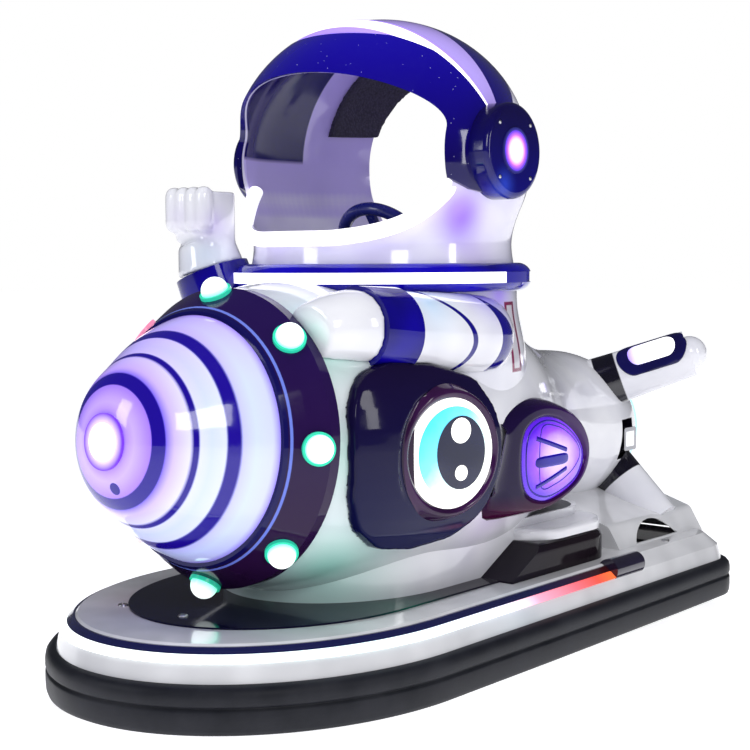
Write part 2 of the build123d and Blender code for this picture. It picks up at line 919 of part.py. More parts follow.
visor_outline = (
    (suit_y, helmet_z),
    (-124, 1330),
    (-160, 1398),
    (-208, 1434),
    (-280, 1450),
    (-600, 1500),
    (-600, 1118),
    (-205, 1118),
    (-150, 1096),
    (-90, 1086),
)
visor_skin = suit_solid(-visor_proud, suit_foot_z)
with BuildPart() as visor_half:
    add(visor_skin)
    add(suit_outer, mode=Mode.SUBTRACT)
    with BuildSketch(Plane.YZ):
        with BuildLine():
            Polyline(*visor_outline, close=True)
        make_face()
    extrude(amount=space, mode=Mode.INTERSECT)
    add(face_opening(0), mode=Mode.SUBTRACT)
helmet_visor = closed_by_mirror(visor_half)
save(helmet_visor, "helmet_visor")


def helmet_arc(first_angle, last_angle, proud):
    """A band over the helmet's crown from ear to ear, between two angles above straight ahead."""
    first = radians(first_angle)
    last = radians(last_angle)
    reach = 2 * helmet_radius
    with BuildPart() as band:
        add(suit_solid(-proud, suit_foot_z))
        add(suit_outer, mode=Mode.SUBTRACT)
        with BuildSketch(Plane.YZ):
            with BuildLine():
                Polyline(
                    (suit_y, helmet_z),
                    (suit_y - reach * cos(first), helmet_z + reach * sin(first)),
                    (suit_y - reach * cos(last), helmet_z + reach * sin(last)),
                    close=True,
                )
            make_face()
        extrude(amount=500, both=True, mode=Mode.INTERSECT)
    return band


ear_block_x = 290
with BuildPart() as ear_pod_left:
    with BuildSketch(Plane.YZ.offset(ear_block_x)):
        with Locations((ear_y, helmet_z)):
            Circle(ear_radius)
    extrude(amount=ear_x - ear_block_x)
    fillet(faces().sort_by(Axis.X)[-1].edges(), ear_round)
    add(suit_outer, mode=Mode.SUBTRACT)
    add(visor_half.part, mode=Mode.SUBTRACT)
save(with_mirror(ear_pod_left), "ear_pods")

hoop = helmet_arc(*hoop_angles, hoop_proud)
with BuildPart() as helmet_light_strip:
    add(hoop.part)
    with BuildSketch(Plane.YZ):
        with Locations((ear_y, helmet_z)):
            Circle(ear_radius)
    extrude(amount=500, both=True, mode=Mode.SUBTRACT)
save(helmet_light_strip, "helmet_light_strip")

with BuildPart() as ear_lamp_left:
    with BuildSketch(Plane.YZ.offset(ear_x)):
        with Locations((ear_y, helmet_z)):
            Ellipse(ear_lamp_width / 2, ear_lamp_height / 2)
    extrude(amount=ear_lamp_thickness)
save(with_mirror(ear_lamp_left), "ear_lamps")

with BuildPart() as belt_ring:
    with BuildSketch(suit_plane(-belt_end_angle)):
        with Locations((belt_radius, belt_z)):
            Circle(belt_tube)
    revolve(axis=suit_axis, revolution_arc=2 * belt_end_angle)
    for end_angle in (-belt_end_angle, belt_end_angle):
        with Locations(suit_point(end_angle, belt_radius, belt_z)):
            Sphere(belt_tube)
    add(suit_outer, mode=Mode.SUBTRACT)
    with BuildSketch(suit_profile):
        with Locations((belt_radius + belt_tube - belt_groove, belt_z)):
            Rectangle(belt_tube, belt_light_height, align=(Align.MIN, Align.CENTER))
    revolve(axis=suit_axis, mode=Mode.SUBTRACT)
    add(barrel_outer, mode=Mode.SUBTRACT)
save(belt_ring, "belt_ring")

with BuildPart() as belt_light:
    with BuildSketch(suit_profile):
        with Locations((belt_radius + belt_tube - belt_groove, belt_z)):
            Rectangle(belt_light_depth, belt_light_height, align=(Align.MIN, Align.CENTER))
    revolve(axis=suit_axis)
    with Locations((0, belt_light_end_y, belt_z)):
        Box(*entry_box, align=(Align.CENTER, Align.MIN, Align.CENTER), mode=Mode.SUBTRACT)
    add(barrel_outer, mode=Mode.SUBTRACT)
save(belt_light, "belt_light")

save(face_tube, "face_tube")


# ================================================================== arms
def arm_loft(sections):
    """Loft through ellipses across the rocket: y, centre x, centre z, half width, half height."""
    with BuildPart() as arm:
        faces_along = []
        for y, x, z, half_width, half_height in sections:
            with BuildSketch(Plane.XZ.offset(-y)) as section:
                with Locations((x, z)):
                    Ellipse(half_width, half_height)
            faces_along.append(section.sketch)
        loft(faces_along)
    return arm.part


# y, centre x, centre z, half width, half height
sleeve_sections = (
    (60, 255, 772, 60, 70),
    (-60, 286, 776, 92, 92),
    (-220, 280, 786, 88, 90),
    (-350, 270, 796, 84, 87),
)
cuff_sections = (
    (-350, 270, 796, 89, 92),
    (-445, 256, 806, 86, 86),
)
glove_sections = (
    (-445, 254, 806, 80, 79),
    (-510, 238, 806, 76, 70),
    (-556, 222, 800, 62, 56),
)
housing_block = eye_housing_left.part


def trimmed_arm(sections):
    """An arm piece cut back to the surfaces it lies on."""
    with BuildPart() as piece:
        add(arm_loft(sections))
        add(barrel_outer, mode=Mode.SUBTRACT)
        add(suit_outer, mode=Mode.SUBTRACT)
        add(housing_block, mode=Mode.SUBTRACT)
        add(belt_ring.part, mode=Mode.SUBTRACT)
        add(belt_light.part, mode=Mode.SUBTRACT)
        add(collar_ring.part, mode=Mode.SUBTRACT)
        add(collar_lamp_cups.part, mode=Mode.SUBTRACT)
    return piece


sleeve_left = trimmed_arm(sleeve_sections)
cuff_left = trimmed_arm(cuff_sections)
glove_left = trimmed_arm(glove_sections)

elbow = Vector(-284, -258, 790)
wrist_low = Vector(-298, -282, 846)
wrist_high = Vector(-324, -292, 920)
hand_base = Vector(-340, -296, 988)
elbow_radius = 94
forearm_radii = (86, 84)
cuff_radii = (91, 88)
wrist_radii = (80, 66)


def limb(stations):
    """Loft of circles: centre and radius at each station."""
    with BuildPart() as piece:
        rings = []
        for index, (centre, radius) in enumerate(stations):
            ahead = stations[min(index + 1, len(stations) - 1)][0]
            behind = stations[max(index - 1, 0)][0]
            with BuildSketch(Plane(origin=centre, x_dir=(1, 0, 0), z_dir=ahead - behind)) as ring:
                Circle(radius)
            rings.append(ring.sketch)
        loft(rings)
    return piece.part


with BuildPart() as sleeve_right:
    mirror(arm_loft(sleeve_sections[:3]), about=Plane.YZ, mode=Mode.ADD)
    with Locations(elbow):
        Sphere(elbow_radius)
    add(limb(((elbow, forearm_radii[0]), (wrist_low, forearm_radii[1]))))
    add(barrel_outer, mode=Mode.SUBTRACT)
    add(suit_outer, mode=Mode.SUBTRACT)
    mirror(housing_block, about=Plane.YZ, mode=Mode.SUBTRACT)
    add(belt_ring.part, mode=Mode.SUBTRACT)
    add(belt_light.part, mode=Mode.SUBTRACT)
save(side_by_side(sleeve_left, sleeve_right), "sleeves")

with BuildPart() as cuff_right:
    add(limb(((wrist_low, cuff_radii[0]), (wrist_high, cuff_radii[1]))))
    add(suit_outer, mode=Mode.SUBTRACT)
    add(belt_ring.part, mode=Mode.SUBTRACT)
    add(belt_light.part, mode=Mode.SUBTRACT)
    add(sleeve_right.part, mode=Mode.SUBTRACT)
    add(barrel_outer, mode=Mode.SUBTRACT)
save(side_by_side(cuff_left, cuff_right), "cuffs")

palm = (134, 98)
palm_round = 30
palm_height = 118
finger_radius = 22
finger_pitch = 33
finger_length = 66
finger_reach = 52         # how far the fingers' middles stand ahead of the palm's
finger_rise = 76
with BuildPart() as fist_right:
    add(limb(((wrist_high, wrist_radii[0]), (hand_base, wrist_radii[1]))))
    with BuildSketch(Plane.XY.offset(hand_base.Z)):
        with Locations((hand_base.X, hand_base.Y)):
            RectangleRounded(*palm, palm_round)
    extrude(amount=palm_height)
    for index in range(4):
        finger = hand_base + Vector((index - 1.5) * finger_pitch, -finger_reach, finger_rise)
        with Locations(finger):
            Cylinder(finger_radius, finger_length)
        for end in (-0.5, 0.5):
            with Locations(finger + Vector(0, 0, end * finger_length)):
                Sphere(finger_radius)
    add(suit_outer, mode=Mode.SUBTRACT)
    add(belt_ring.part, mode=Mode.SUBTRACT)
    add(belt_light.part, mode=Mode.SUBTRACT)
    add(cuff_right.part, mode=Mode.SUBTRACT)
    add(face_tube.part, mode=Mode.SUBTRACT)
save(side_by_side(glove_left, fist_right), "gloves")

# ================================================================== cabin
seat_wall = 5
seat_depth = seat_rear_y - seat_front_y
seat_box_top = seat_z - cushion_thickness
with BuildPart() as seat_box:
    with BuildSketch(Plane.XY.offset(insert_top)):
        with Locations((0, (seat_front_y + seat_rear_y) / 2)):
            RectangleRounded(2 * seat_half_width, seat_depth, 30)
    extrude(amount=seat_box_top - insert_top)
    with BuildSketch(Plane.XY.offset(insert_top)):
        with Locations((0, (seat_front_y + seat_rear_y) / 2)):
            RectangleRounded(2 * (seat_half_width - seat_wall), seat_depth - 2 * seat_wall, 25)
    extrude(amount=seat_box_top - insert_top - seat_wall, mode=Mode.SUBTRACT)
save(seat_box, "seat_box")

with BuildPart() as seat_cushion:
    with BuildSketch(Plane.XY.offset(seat_box_top + soft_gap)):
        with Locations((0, (seat_front_y + seat_rear_y) / 2)):
            RectangleRounded(2 * seat_half_width - 10, seat_depth - 10, 28)
    extrude(amount=cushion_thickness)
    fillet(faces().sort_by(Axis.Z)[-1].edges(), 16)
save(seat_cushion, "seat_cushion")

pad_thickness = 14
pad_low_z = 1256
pad_high_z = 1402
pad_front_y = 92
with BuildPart() as head_pads:
    add(suit_solid(torso_wall + soft_gap, suit_foot_z))
    add(suit_solid(torso_wall + soft_gap + pad_thickness, suit_foot_z), mode=Mode.SUBTRACT)
    with Locations((0, pad_front_y, pad_low_z)):
        Box(
            2 * helmet_radius,
            entry_y - 2 - pad_front_y,
            pad_high_z - pad_low_z,
            align=(Align.CENTER, Align.MIN, Align.MIN),
            mode=Mode.INTERSECT,
        )
save(head_pads, "head_pads")

with BuildPart() as battery_pack:
    with Locations((0, (seat_front_y + seat_rear_y) / 2, insert_top)):
        Box(*battery_size, align=(Align.CENTER, Align.CENTER, Align.MIN))
    fillet(edges().filter_by(Axis.Z), 6)
save(battery_pack, "battery_pack")

mat_half_width = 150
mat_front_y = -400
mat_thickness = 4
with BuildPart() as floor_mat:
    with BuildSketch(Plane.XY.offset(insert_top)):
        with Locations((0, (mat_front_y + seat_front_y) / 2)):
            RectangleRounded(2 * mat_half_width, seat_front_y - mat_front_y - 8, 40)
    extrude(amount=mat_thickness)
save(floor_mat, "floor_mat")

# ------------------------------------------------------------------ steering column
column_down = Vector(0, -cos(radians(column_angle)), -sin(radians(column_angle)))


def column_plane(distance):
    """Plane across the steering column, this far below the wheel's centre."""
    return Plane(origin=wheel_centre + column_down * distance, x_dir=(1, 0, 0), z_dir=column_down)


jacket_radius = 17
jacket_start = 52
post_width = 44
post_y = wheel_centre.Y + column_down.Y * (column_length - 30)
with BuildPart() as steering_post:
    with BuildSketch(column_plane(jacket_start)):
        Circle(jacket_radius)
    extrude(amount=column_length - jacket_start)
    post_top = wheel_centre.Z + column_down.Z * (column_length - 30)
    with BuildSketch(Plane.XY.offset(insert_top)):
        with Locations((0, post_y)):
            RectangleRounded(post_width, post_width, 6)
    extrude(amount=post_top - insert_top)
    with BuildSketch(Plane.XY.offset(insert_top)):
        with Locations((0, post_y)):
            RectangleRounded(120, 100, 10)
    extrude(amount=6)
    with BuildSketch(column_plane(jacket_start)):
        Circle(column_radius + bush_clearance)
    extrude(amount=column_length - jacket_start, mode=Mode.SUBTRACT)
    add(floor_mat.part, mode=Mode.SUBTRACT)
save(steering_post, "steering_post")

with BuildPart() as dash_console:
    with BuildSketch(Plane.YZ):
        with BuildLine():
            Polyline(
                (-400, 790),
                (-400, 900),
                (-300, 900),
                (-228, 850),
                (-250, 790),
                close=True,
            )
        make_face()
    extrude(amount=170, both=True)
    add(suit_solid(torso_wall + soft_gap, suit_foot_z), mode=Mode.INTERSECT)
    with BuildSketch(column_plane(jacket_start)):
        Circle(jacket_radius)
    extrude(amount=column_length, mode=Mode.SUBTRACT)
save(dash_console, "dash_console")

spoke_width = 24
hub_radius = 34
hub_rise = 10
hub_drop = 26
spoke_length = wheel_ring_radius - hub_radius + 6
spoke_middle = (wheel_ring_radius + hub_radius) / 2 - 3
with BuildPart() as steering_wheel:
    with Locations(column_plane(0)):
        Torus(wheel_ring_radius, wheel_rim_radius)
    with BuildSketch(column_plane(-5)):
        with PolarLocations(spoke_middle, 3, start_angle=90):
            Rectangle(spoke_length, spoke_width)
    extrude(amount=10)
    with BuildSketch(column_plane(-hub_rise)):
        Circle(hub_radius)
    extrude(amount=hub_rise + hub_drop)
save(steering_wheel, "steering_wheel")

with BuildPart() as steering_shaft:
    with BuildSketch(column_plane(hub_drop)):
        Circle(column_radius)
    extrude(amount=column_length - hub_drop)
save(steering_shaft, "steering_shaft")

# ================================================================== chassis
rail_top = frame_top - plate_thickness
rail_front_y = drive_wheel_y - 170
rail_rear_y = rear_axle_y + 130
swivel_plate = (2 * rail_x + rail, 300)
swivel_hole_x = 95
swivel_hole_y = 75
swivel_hole_radius = 5.5
race_height = 21
with BuildPart() as chassis_frame:
    with BuildSketch(Plane.XY.offset(rail_top - rail)):
        rail_middle_y = (rail_front_y + rail_rear_y) / 2
        with Locations((rail_x, rail_middle_y), (-rail_x, rail_middle_y)):
            Rectangle(rail, rail_rear_y - rail_front_y)
        for cross_y in (drive_wheel_y - 135, drive_wheel_y + 135, 0, 300, rear_axle_y + 90):
            with Locations((0, cross_y)):
                Rectangle(2 * rail_x, rail)
    extrude(amount=rail)
    with BuildSketch(Plane.XY.offset(rail_top)):
        with Locations((0, drive_wheel_y)):
            Rectangle(*swivel_plate)
        with Locations((0, drive_wheel_y)):
            Circle(swivel_pin_radius + bush_clearance, mode=Mode.SUBTRACT)
            with GridLocations(2 * swivel_hole_x, 2 * swivel_hole_y, 2, 2):
                Circle(swivel_hole_radius, mode=Mode.SUBTRACT)
        with Locations((0, 150), (0, rear_axle_y)):
            Rectangle(2 * rail_x + rail, 120)
    extrude(amount=plate_thickness)
    with BuildSketch(Plane.XY.offset(rail_top - race_height)):
        with Locations((0, drive_wheel_y)):
            Circle(swivel_radius)
            Circle(swivel_pin_radius + bush_clearance, mode=Mode.SUBTRACT)
    extrude(amount=race_height)
save(chassis_frame, "chassis_frame")

crown_gap = 0.3
crown_top = rail_top - race_height - crown_gap
crown_thickness = 12
leg_thickness = 6
leg_top_half = 46
leg_foot_half = 20
leg_foot_drop = 18        # the leg's foot lies this far below the axle
leg_x = tyre_width / 2 + fork_gap
axle_length = 2 * (leg_x + leg_thickness) + 16
with BuildPart() as drive_fork:
    with BuildSketch(Plane.XY.offset(crown_top - crown_thickness)):
        with Locations((0, drive_wheel_y)):
            RectangleRounded(2 * (leg_x + leg_thickness), 100, 5)
    extrude(amount=crown_thickness)
    for side in (1, -1):
        with BuildSketch(Plane.YZ.offset(side * leg_x)):
            with BuildLine():
                Polyline(
                    (drive_wheel_y - leg_top_half, crown_top - crown_thickness),
                    (drive_wheel_y - leg_foot_half, tyre_radius - leg_foot_drop),
                    (drive_wheel_y + leg_foot_half, tyre_radius - leg_foot_drop),
                    (drive_wheel_y + leg_top_half, crown_top - crown_thickness),
                    close=True,
                )
            make_face()
        extrude(amount=side * leg_thickness)
    with BuildSketch(Plane.YZ):
        with Locations((drive_wheel_y, tyre_radius)):
            Circle(axle_radius)
    extrude(amount=axle_length / 2, both=True)
    with BuildSketch(Plane.XY.offset(crown_top)):
        with Locations((0, drive_wheel_y)):
            Circle(swivel_pin_radius)
    extrude(amount=rail_top + plate_thickness - 1 - crown_top)
save(drive_fork, "drive_fork")

hub_half_width = tyre_width / 2 + 3
rim_radius = 50


def wheel_at(x, y, stem):
    """Hub and tyre of one wheel, as two sub-parts."""
    with BuildPart() as hub:
        with BuildSketch(Plane.YZ.offset(x)):
            with Locations((y, tyre_radius)):
                Circle(rim_radius)
                Circle(axle_radius + bush_clearance, mode=Mode.SUBTRACT)
        extrude(amount=tyre_width / 2 - 4, both=True)
        with BuildSketch(Plane.YZ.offset(x)):
            with Locations((y, tyre_radius)):
                Circle(rim_radius - 10)
                Circle(24, mode=Mode.SUBTRACT)
        extrude(amount=tyre_width / 2, both=True, mode=Mode.SUBTRACT)
        with BuildSketch(Plane.YZ.offset(x)):
            with Locations((y, tyre_radius)):
                Circle(rim_radius - 5)
                Circle(axle_radius + bush_clearance, mode=Mode.SUBTRACT)
        extrude(amount=5, both=True)
        with BuildSketch(Plane.YZ.offset(x)):
            with Locations((y, tyre_radius)):
                Circle(24)
                Circle(axle_radius + bush_clearance, mode=Mode.SUBTRACT)
        extrude(amount=hub_half_width, both=True)
    save(hub, f"{stem}_hub")
    with BuildPart() as tyre:
        with BuildSketch(Plane.YZ.offset(x)):
            with Locations((y, tyre_radius)):
                Circle(tyre_radius)
        extrude(amount=tyre_width / 2, both=True)
        fillet(edges(), 9)
        with BuildSketch(Plane.YZ.offset(x)):
            with Locations((y, tyre_radius)):
                Circle(rim_radius)
        extrude(amount=tyre_width, both=True, mode=Mode.SUBTRACT)
    save(tyre, f"{stem}_tyre")


wheel_at(0, drive_wheel_y, "drive_wheel")
wheel_at(rear_wheel_x, rear_axle_y, "rear_wheel_left")
wheel_at(-rear_wheel_x, rear_axle_y, "rear_wheel_right")

collar_width = 12
axle_half = rear_wheel_x + hub_half_width + 1 + collar_width
with BuildPart() as rear_axle:
    with BuildSketch(Plane.YZ):
        with Locations((rear_axle_y, tyre_radius)):
            Circle(axle_radius)
    extrude(amount=axle_half, both=True)
    for side in (-1, 1):
        with BuildSketch(Plane.YZ.offset(side * rail_x)):
            with BuildLine():
                Polyline(
                    (rear_axle_y - 60, rail_top - rail),
                    (rear_axle_y - 18, tyre_radius - 20),
                    (rear_axle_y + 18, tyre_radius - 20),
                    (rear_axle_y + 60, rail_top - rail),
                    close=True,
                )
            make_face()
        extrude(amount=4, both=True)
        inboard_x = rear_wheel_x - hub_half_width - 1 - collar_width
        for inner_x in (inboard_x, rear_wheel_x + hub_half_width + 1):
            with BuildSketch(Plane.YZ.offset(side * inner_x)):
                with Locations((rear_axle_y, tyre_radius)):
                    Circle(18)
            extrude(amount=side * collar_width)
save(rear_axle, "rear_axle")
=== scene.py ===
import math

import bpy
import numpy as np
from mathutils import Matrix, Vector
from mathutils.bvhtree import BVHTree


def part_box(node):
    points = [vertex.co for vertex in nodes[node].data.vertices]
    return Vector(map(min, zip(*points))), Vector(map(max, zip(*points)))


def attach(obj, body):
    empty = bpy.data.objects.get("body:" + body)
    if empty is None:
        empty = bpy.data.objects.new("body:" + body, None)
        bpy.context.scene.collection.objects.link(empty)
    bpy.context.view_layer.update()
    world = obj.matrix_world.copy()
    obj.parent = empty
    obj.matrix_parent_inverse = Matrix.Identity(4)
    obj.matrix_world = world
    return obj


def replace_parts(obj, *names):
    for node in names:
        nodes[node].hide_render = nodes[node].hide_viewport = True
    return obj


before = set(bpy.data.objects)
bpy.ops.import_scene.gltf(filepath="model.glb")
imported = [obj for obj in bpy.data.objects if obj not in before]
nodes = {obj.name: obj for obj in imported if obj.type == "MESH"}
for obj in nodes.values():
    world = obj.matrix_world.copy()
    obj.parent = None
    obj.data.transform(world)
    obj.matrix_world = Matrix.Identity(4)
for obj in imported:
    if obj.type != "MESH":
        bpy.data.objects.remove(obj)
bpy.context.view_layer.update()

# places shared with the CAD part, in metres
ROCKET_ORIGIN = (0.0, -0.568, 0.573)      # middle of the collar's rear face
ROCKET_TILT = math.radians(3.9)
HELMET_CENTRE = (0.0, -0.05, 1.18)
EYE_CENTRE = (-0.279, 0.539)              # along the car, height
EYE_X = 0.372
EYE_YAW = math.radians(11.5)              # the eyes look a little forwards
EYE_RADIUS = 0.117
HELMET_HALF = (0.345, 0.318)              # half width and half height of the helmet's ball
POD_FACE_X = 0.372
EAR_PLACE = (-0.06, 1.18)                 # along the car, height
EAR_SCREW_CIRCLE = 0.082
TAIL_LAMP = (0.752, 0.461)                # along the car, height
WHITE_SHADES = (0.74, 0.74, 0.80), (0.84, 0.84, 0.88)
PLUM = (0.022, 0.005, 0.040)


# ------------------------------------------------------------------ shader tools
class Net:
    """Short ways to add and link nodes in one node tree."""

    def __init__(self, tree):
        self.tree = tree

    def add(self, kind, **settings):
        node = self.tree.nodes.new(kind)
        for key, value in settings.items():
            setattr(node, key, value)
        return node

    def feed(self, socket, value):
        if isinstance(value, bpy.types.NodeSocket):
            self.tree.links.new(value, socket)
        elif value is not None:
            if isinstance(value, tuple) and len(value) == 3 and len(socket.default_value) == 4:
                value = (*value, 1.0)
            socket.default_value = value

    def maths(self, operation, a, b=None, c=None, clamp=False):
        node = self.add("ShaderNodeMath", operation=operation, use_clamp=clamp)
        for socket, value in zip(node.inputs, (a, b, c)):
            self.feed(socket, value)
        return node.outputs[0]

    def vector(self, operation, a, b=None, scale=None):
        node = self.add("ShaderNodeVectorMath", operation=operation)
        self.feed(node.inputs[0], a)
        self.feed(node.inputs[1], b)
        if scale is not None:
            self.feed(node.inputs["Scale"], scale)
        single = operation in ("DOT_PRODUCT", "LENGTH", "DISTANCE")
        return node.outputs["Value" if single else "Vector"]

    def mix(self, share, a, b):
        node = self.add("ShaderNodeMix", data_type="RGBA")
        self.feed(node.inputs[0], share)
        self.feed(node.inputs[6], a)
        self.feed(node.inputs[7], b)
        return node.outputs[2]

    def ramp(self, value, stops):
        node = self.add("ShaderNodeValToRGB")
        self.feed(node.inputs[0], value)
        elements = node.color_ramp.elements
        while len(elements) < len(stops):
            elements.new(1.0)
        for element, (place, colour) in zip(elements, stops):
            element.position = place
            element.color = (*colour, 1.0)
        return node.outputs[0]

    def rise(self, value, low, high):
        """0 below low, 1 above high, straight between."""
        node = self.add("ShaderNodeMapRange", clamp=True)
        for name, number in (("Value", value), ("From Min", low), ("From Max", high)):
            self.feed(node.inputs[name], number)
        return node.outputs[0]

    def product(self, a, b):
        return self.maths("MULTIPLY", a, b)

    def oval(self, a, b, centre, half=(1.0, 1.0)):
        """Distance of (a, b) from a centre, measured in the half axes of an ellipse."""
        gaps = [self.product(self.maths("SUBTRACT", value, middle), 1 / size)
                for value, middle, size in zip((a, b), centre, half)]
        return self.maths("SQRT", self.maths("ADD", *(self.product(gap, gap) for gap in gaps)))

    def group(self, tree, **inputs):
        node = self.add("ShaderNodeGroup", node_tree=tree)
        for key, value in inputs.items():
            self.feed(node.inputs[key.replace("_", " ")], value)
        return node.outputs

    def place(self):
        return self.add("ShaderNodeTexCoord").outputs["Object"]

    def axes(self, position=None):
        node = self.add("ShaderNodeSeparateXYZ")
        self.feed(node.inputs[0], position if position is not None else self.place())
        return node.outputs

    def noise(self, position, scale, detail=2.0):
        node = self.add("ShaderNodeTexNoise")
        self.feed(node.inputs["Vector"], position)
        node.inputs["Scale"].default_value = scale
        node.inputs["Detail"].default_value = detail
        return node.outputs["Fac"]


def new_group(name, inputs, outputs):
    """An empty node group with its sockets; returns its net, its input node and its output node."""
    tree = bpy.data.node_groups.new(name, "ShaderNodeTree")
    for label, kind in inputs:
        tree.interface.new_socket(label, in_out="INPUT", socket_type="NodeSocket" + kind)
    for label, kind in outputs:
        tree.interface.new_socket(label, in_out="OUTPUT", socket_type="NodeSocket" + kind)
    return Net(tree), tree.nodes.new("NodeGroupInput"), tree.nodes.new("NodeGroupOutput")


def make_rocket_place():
    """Distance behind the collar's rear face along the rocket's axis, and distance from that axis."""
    net, first, last = new_group(
        "rocket_place", [("Position", "Vector")], [("Along", "Float"), ("Radius", "Float")]
    )
    axis = (0.0, math.cos(ROCKET_TILT), -math.sin(ROCKET_TILT))
    offset = net.vector("SUBTRACT", first.outputs["Position"], ROCKET_ORIGIN)
    along = net.vector("DOT_PRODUCT", offset, axis)
    on_axis = net.vector("SCALE", axis, scale=along)
    across = net.vector("SUBTRACT", offset, on_axis)
    net.feed(last.inputs["Along"], along)
    net.feed(last.inputs["Radius"], net.vector("LENGTH", across))
    return net.tree


def make_band():
    """1 between Low and High of a value, 0 outside, with a soft edge."""
    net, first, last = new_group(
        "band",
        [("Value", "Float"), ("Low", "Float"), ("High", "Float"), ("Soft", "Float")],
        [("Mask", "Float")],
    )
    value, low, high, soft = (first.outputs[k] for k in ("Value", "Low", "High", "Soft"))
    up = net.maths("DIVIDE", net.maths("SUBTRACT", value, low), soft, clamp=True)
    down = net.maths("DIVIDE", net.maths("SUBTRACT", high, value), soft, clamp=True)
    net.feed(last.inputs["Mask"], net.product(up, down))
    return net.tree


def make_spot():
    """1 at a centre, fading smoothly to 0 at a distance."""
    net, first, last = new_group(
        "spot",
        [("Position", "Vector"), ("Centre", "Vector"), ("Reach", "Float"), ("Strength", "Float")],
        [("Mask", "Float")],
    )
    gap = net.vector("DISTANCE", first.outputs["Position"], first.outputs["Centre"])
    share = net.maths("DIVIDE", gap, first.outputs["Reach"], clamp=True)
    fade = net.maths("SUBTRACT", 1.0, share)
    smooth = net.product(fade, fade)
    net.feed(last.inputs["Mask"], net.product(smooth, first.outputs["Strength"]))
    return net.tree


def make_moulding():
    """Gloss of a hand-finished moulding: slow ripple, fine orange peel, wiped patches."""
    net, first, last = new_group(
        "moulding",
        [("Position", "Vector"), ("Gloss", "Float"), ("Ripple", "Float")],
        [("Roughness", "Float"), ("Normal", "Vector"), ("Shade", "Float")],
    )
    position = first.outputs["Position"]
    slow = net.noise(position, 9.0, 1.0)
    peel = net.noise(position, 260.0, 1.0)
    wiped = net.noise(position, 34.0, 4.0)
    height = net.maths("MULTIPLY_ADD", peel, 0.03, slow)
    bump = net.add("ShaderNodeBump")
    bump.inputs["Distance"].default_value = 0.004
    net.feed(bump.inputs["Strength"], first.outputs["Ripple"])
    net.feed(bump.inputs["Height"], height)
    rough = net.maths("MULTIPLY_ADD", net.maths("SUBTRACT", wiped, 0.5), 0.16, first.outputs["Gloss"])
    net.feed(last.inputs["Roughness"], rough)
    net.feed(last.inputs["Normal"], bump.outputs["Normal"])
    net.feed(last.inputs["Shade"], net.rise(slow, 0.3, 0.7))
    return net.tree


ROCKET_PLACE = make_rocket_place()
BAND = make_band()
SPOT = make_spot()
MOULDING = make_moulding()


class Finish(Net):
    """A material: its Principled shader is fed through set()."""

    def __init__(self, name, **values):
        self.material = bpy.data.materials.new(name)
        self.material.use_nodes = True
        super().__init__(self.material.node_tree)
        self.shader = self.tree.nodes["Principled BSDF"]
        self.position = self.place()
        self.set(**values)

    def set(self, **values):
        for key, value in values.items():
            self.feed(self.shader.inputs[key.replace("_", " ")], value)

    def shine(self, tint, strength):
        """One tint for the piece's colour and for its light."""
        self.set(Base_Color=tint, Emission_Color=tint, Emission_Strength=strength)

    def band(self, value, low, high, soft=0.001):
        return self.group(BAND, Value=value, Low=low, High=high, Soft=soft)["Mask"]

    def spots(self, colour, table):
        """Painted glows: (centre, reach, strength, colour) rows mixed over a colour."""
        for centre, reach, strength, tint in table:
            mask = self.group(
                SPOT, Position=self.position, Centre=centre, Reach=reach, Strength=strength
            )["Mask"]
            colour = self.mix(mask, colour, tint)
        return colour

    def moulded(self, gloss=0.14, ripple=0.12):
        outputs = self.group(MOULDING, Position=self.position, Gloss=gloss, Ripple=ripple)
        self.set(Roughness=outputs["Roughness"], Normal=outputs["Normal"])
        return outputs["Shade"]


def gloss(name, colour, deep, gloss_value=0.14, ripple=0.12, coat=0.5, level=0.5):
    """Plain moulded plastic: two close tones in slow clouds."""
    finish = Finish(name, Coat_Weight=coat, Specular_IOR_Level=level)
    shade = finish.moulded(gloss_value, ripple)
    finish.set(Base_Color=finish.mix(shade, deep, colour))
    return finish


def lit(name, colour, strength):
    """A glowing diffuser: even light with slightly darker clouds."""
    finish = Finish(name, Roughness=0.35)
    cloud = finish.noise(finish.position, 22.0, 2.0)
    tint = finish.mix(finish.rise(cloud, 0.25, 0.6), tuple(0.86 * c for c in colour), colour)
    finish.shine(tint, strength)
    return finish


# ------------------------------------------------------------------ materials of the rocket
def white_body(name, glows=(), dark=None):
    """White moulding with the coloured light of its lamps painted on it, and painted shade where a shade
    mask is given.
    """
    finish = Finish(name, Coat_Weight=0.6)
    shade = finish.moulded(0.12, 0.06)
    colour = finish.mix(shade, *WHITE_SHADES)
    colour = finish.spots(colour, glows)
    # painted shade: near-black over the places the dark mask picks
    if dark is not None:
        colour = finish.mix(dark(finish), colour, (0.010, 0.008, 0.018))
    finish.set(Base_Color=colour)
    return finish


GREEN_GLOW = (0.30, 0.95, 0.70)
VIOLET_GLOW = (0.42, 0.26, 0.95)
body_glows = [
    ((0.24, -0.54, 0.80), 0.20, 0.80, GREEN_GLOW),
    ((0.36, -0.56, 0.55), 0.17, 0.80, GREEN_GLOW),
    ((0.22, -0.50, 0.28), 0.30, 0.90, (0.30, 0.88, 0.70)),
    ((0.0, -0.45, 0.24), 0.34, 0.50, (0.50, 0.85, 0.80)),
    ((0.36, -0.05, 0.35), 0.18, 0.50, (0.66, 0.36, 0.95)),
    ((0.10, -0.50, 0.92), 0.20, 0.40, (0.62, 0.80, 0.98)),
    ((0.30, 0.42, 0.58), 0.16, 0.22, VIOLET_GLOW),
]


def lamp_recess_shade(finish):
    """Walls of the recesses round the tail lamps, where shade is painted near-black."""
    _, y, z = finish.axes(finish.position)
    along = finish.band(y, TAIL_LAMP[0] - 0.044, TAIL_LAMP[0] + 0.044)
    upright = finish.band(z, TAIL_LAMP[1] - 0.055, TAIL_LAMP[1] + 0.055)
    return finish.product(along, upright)


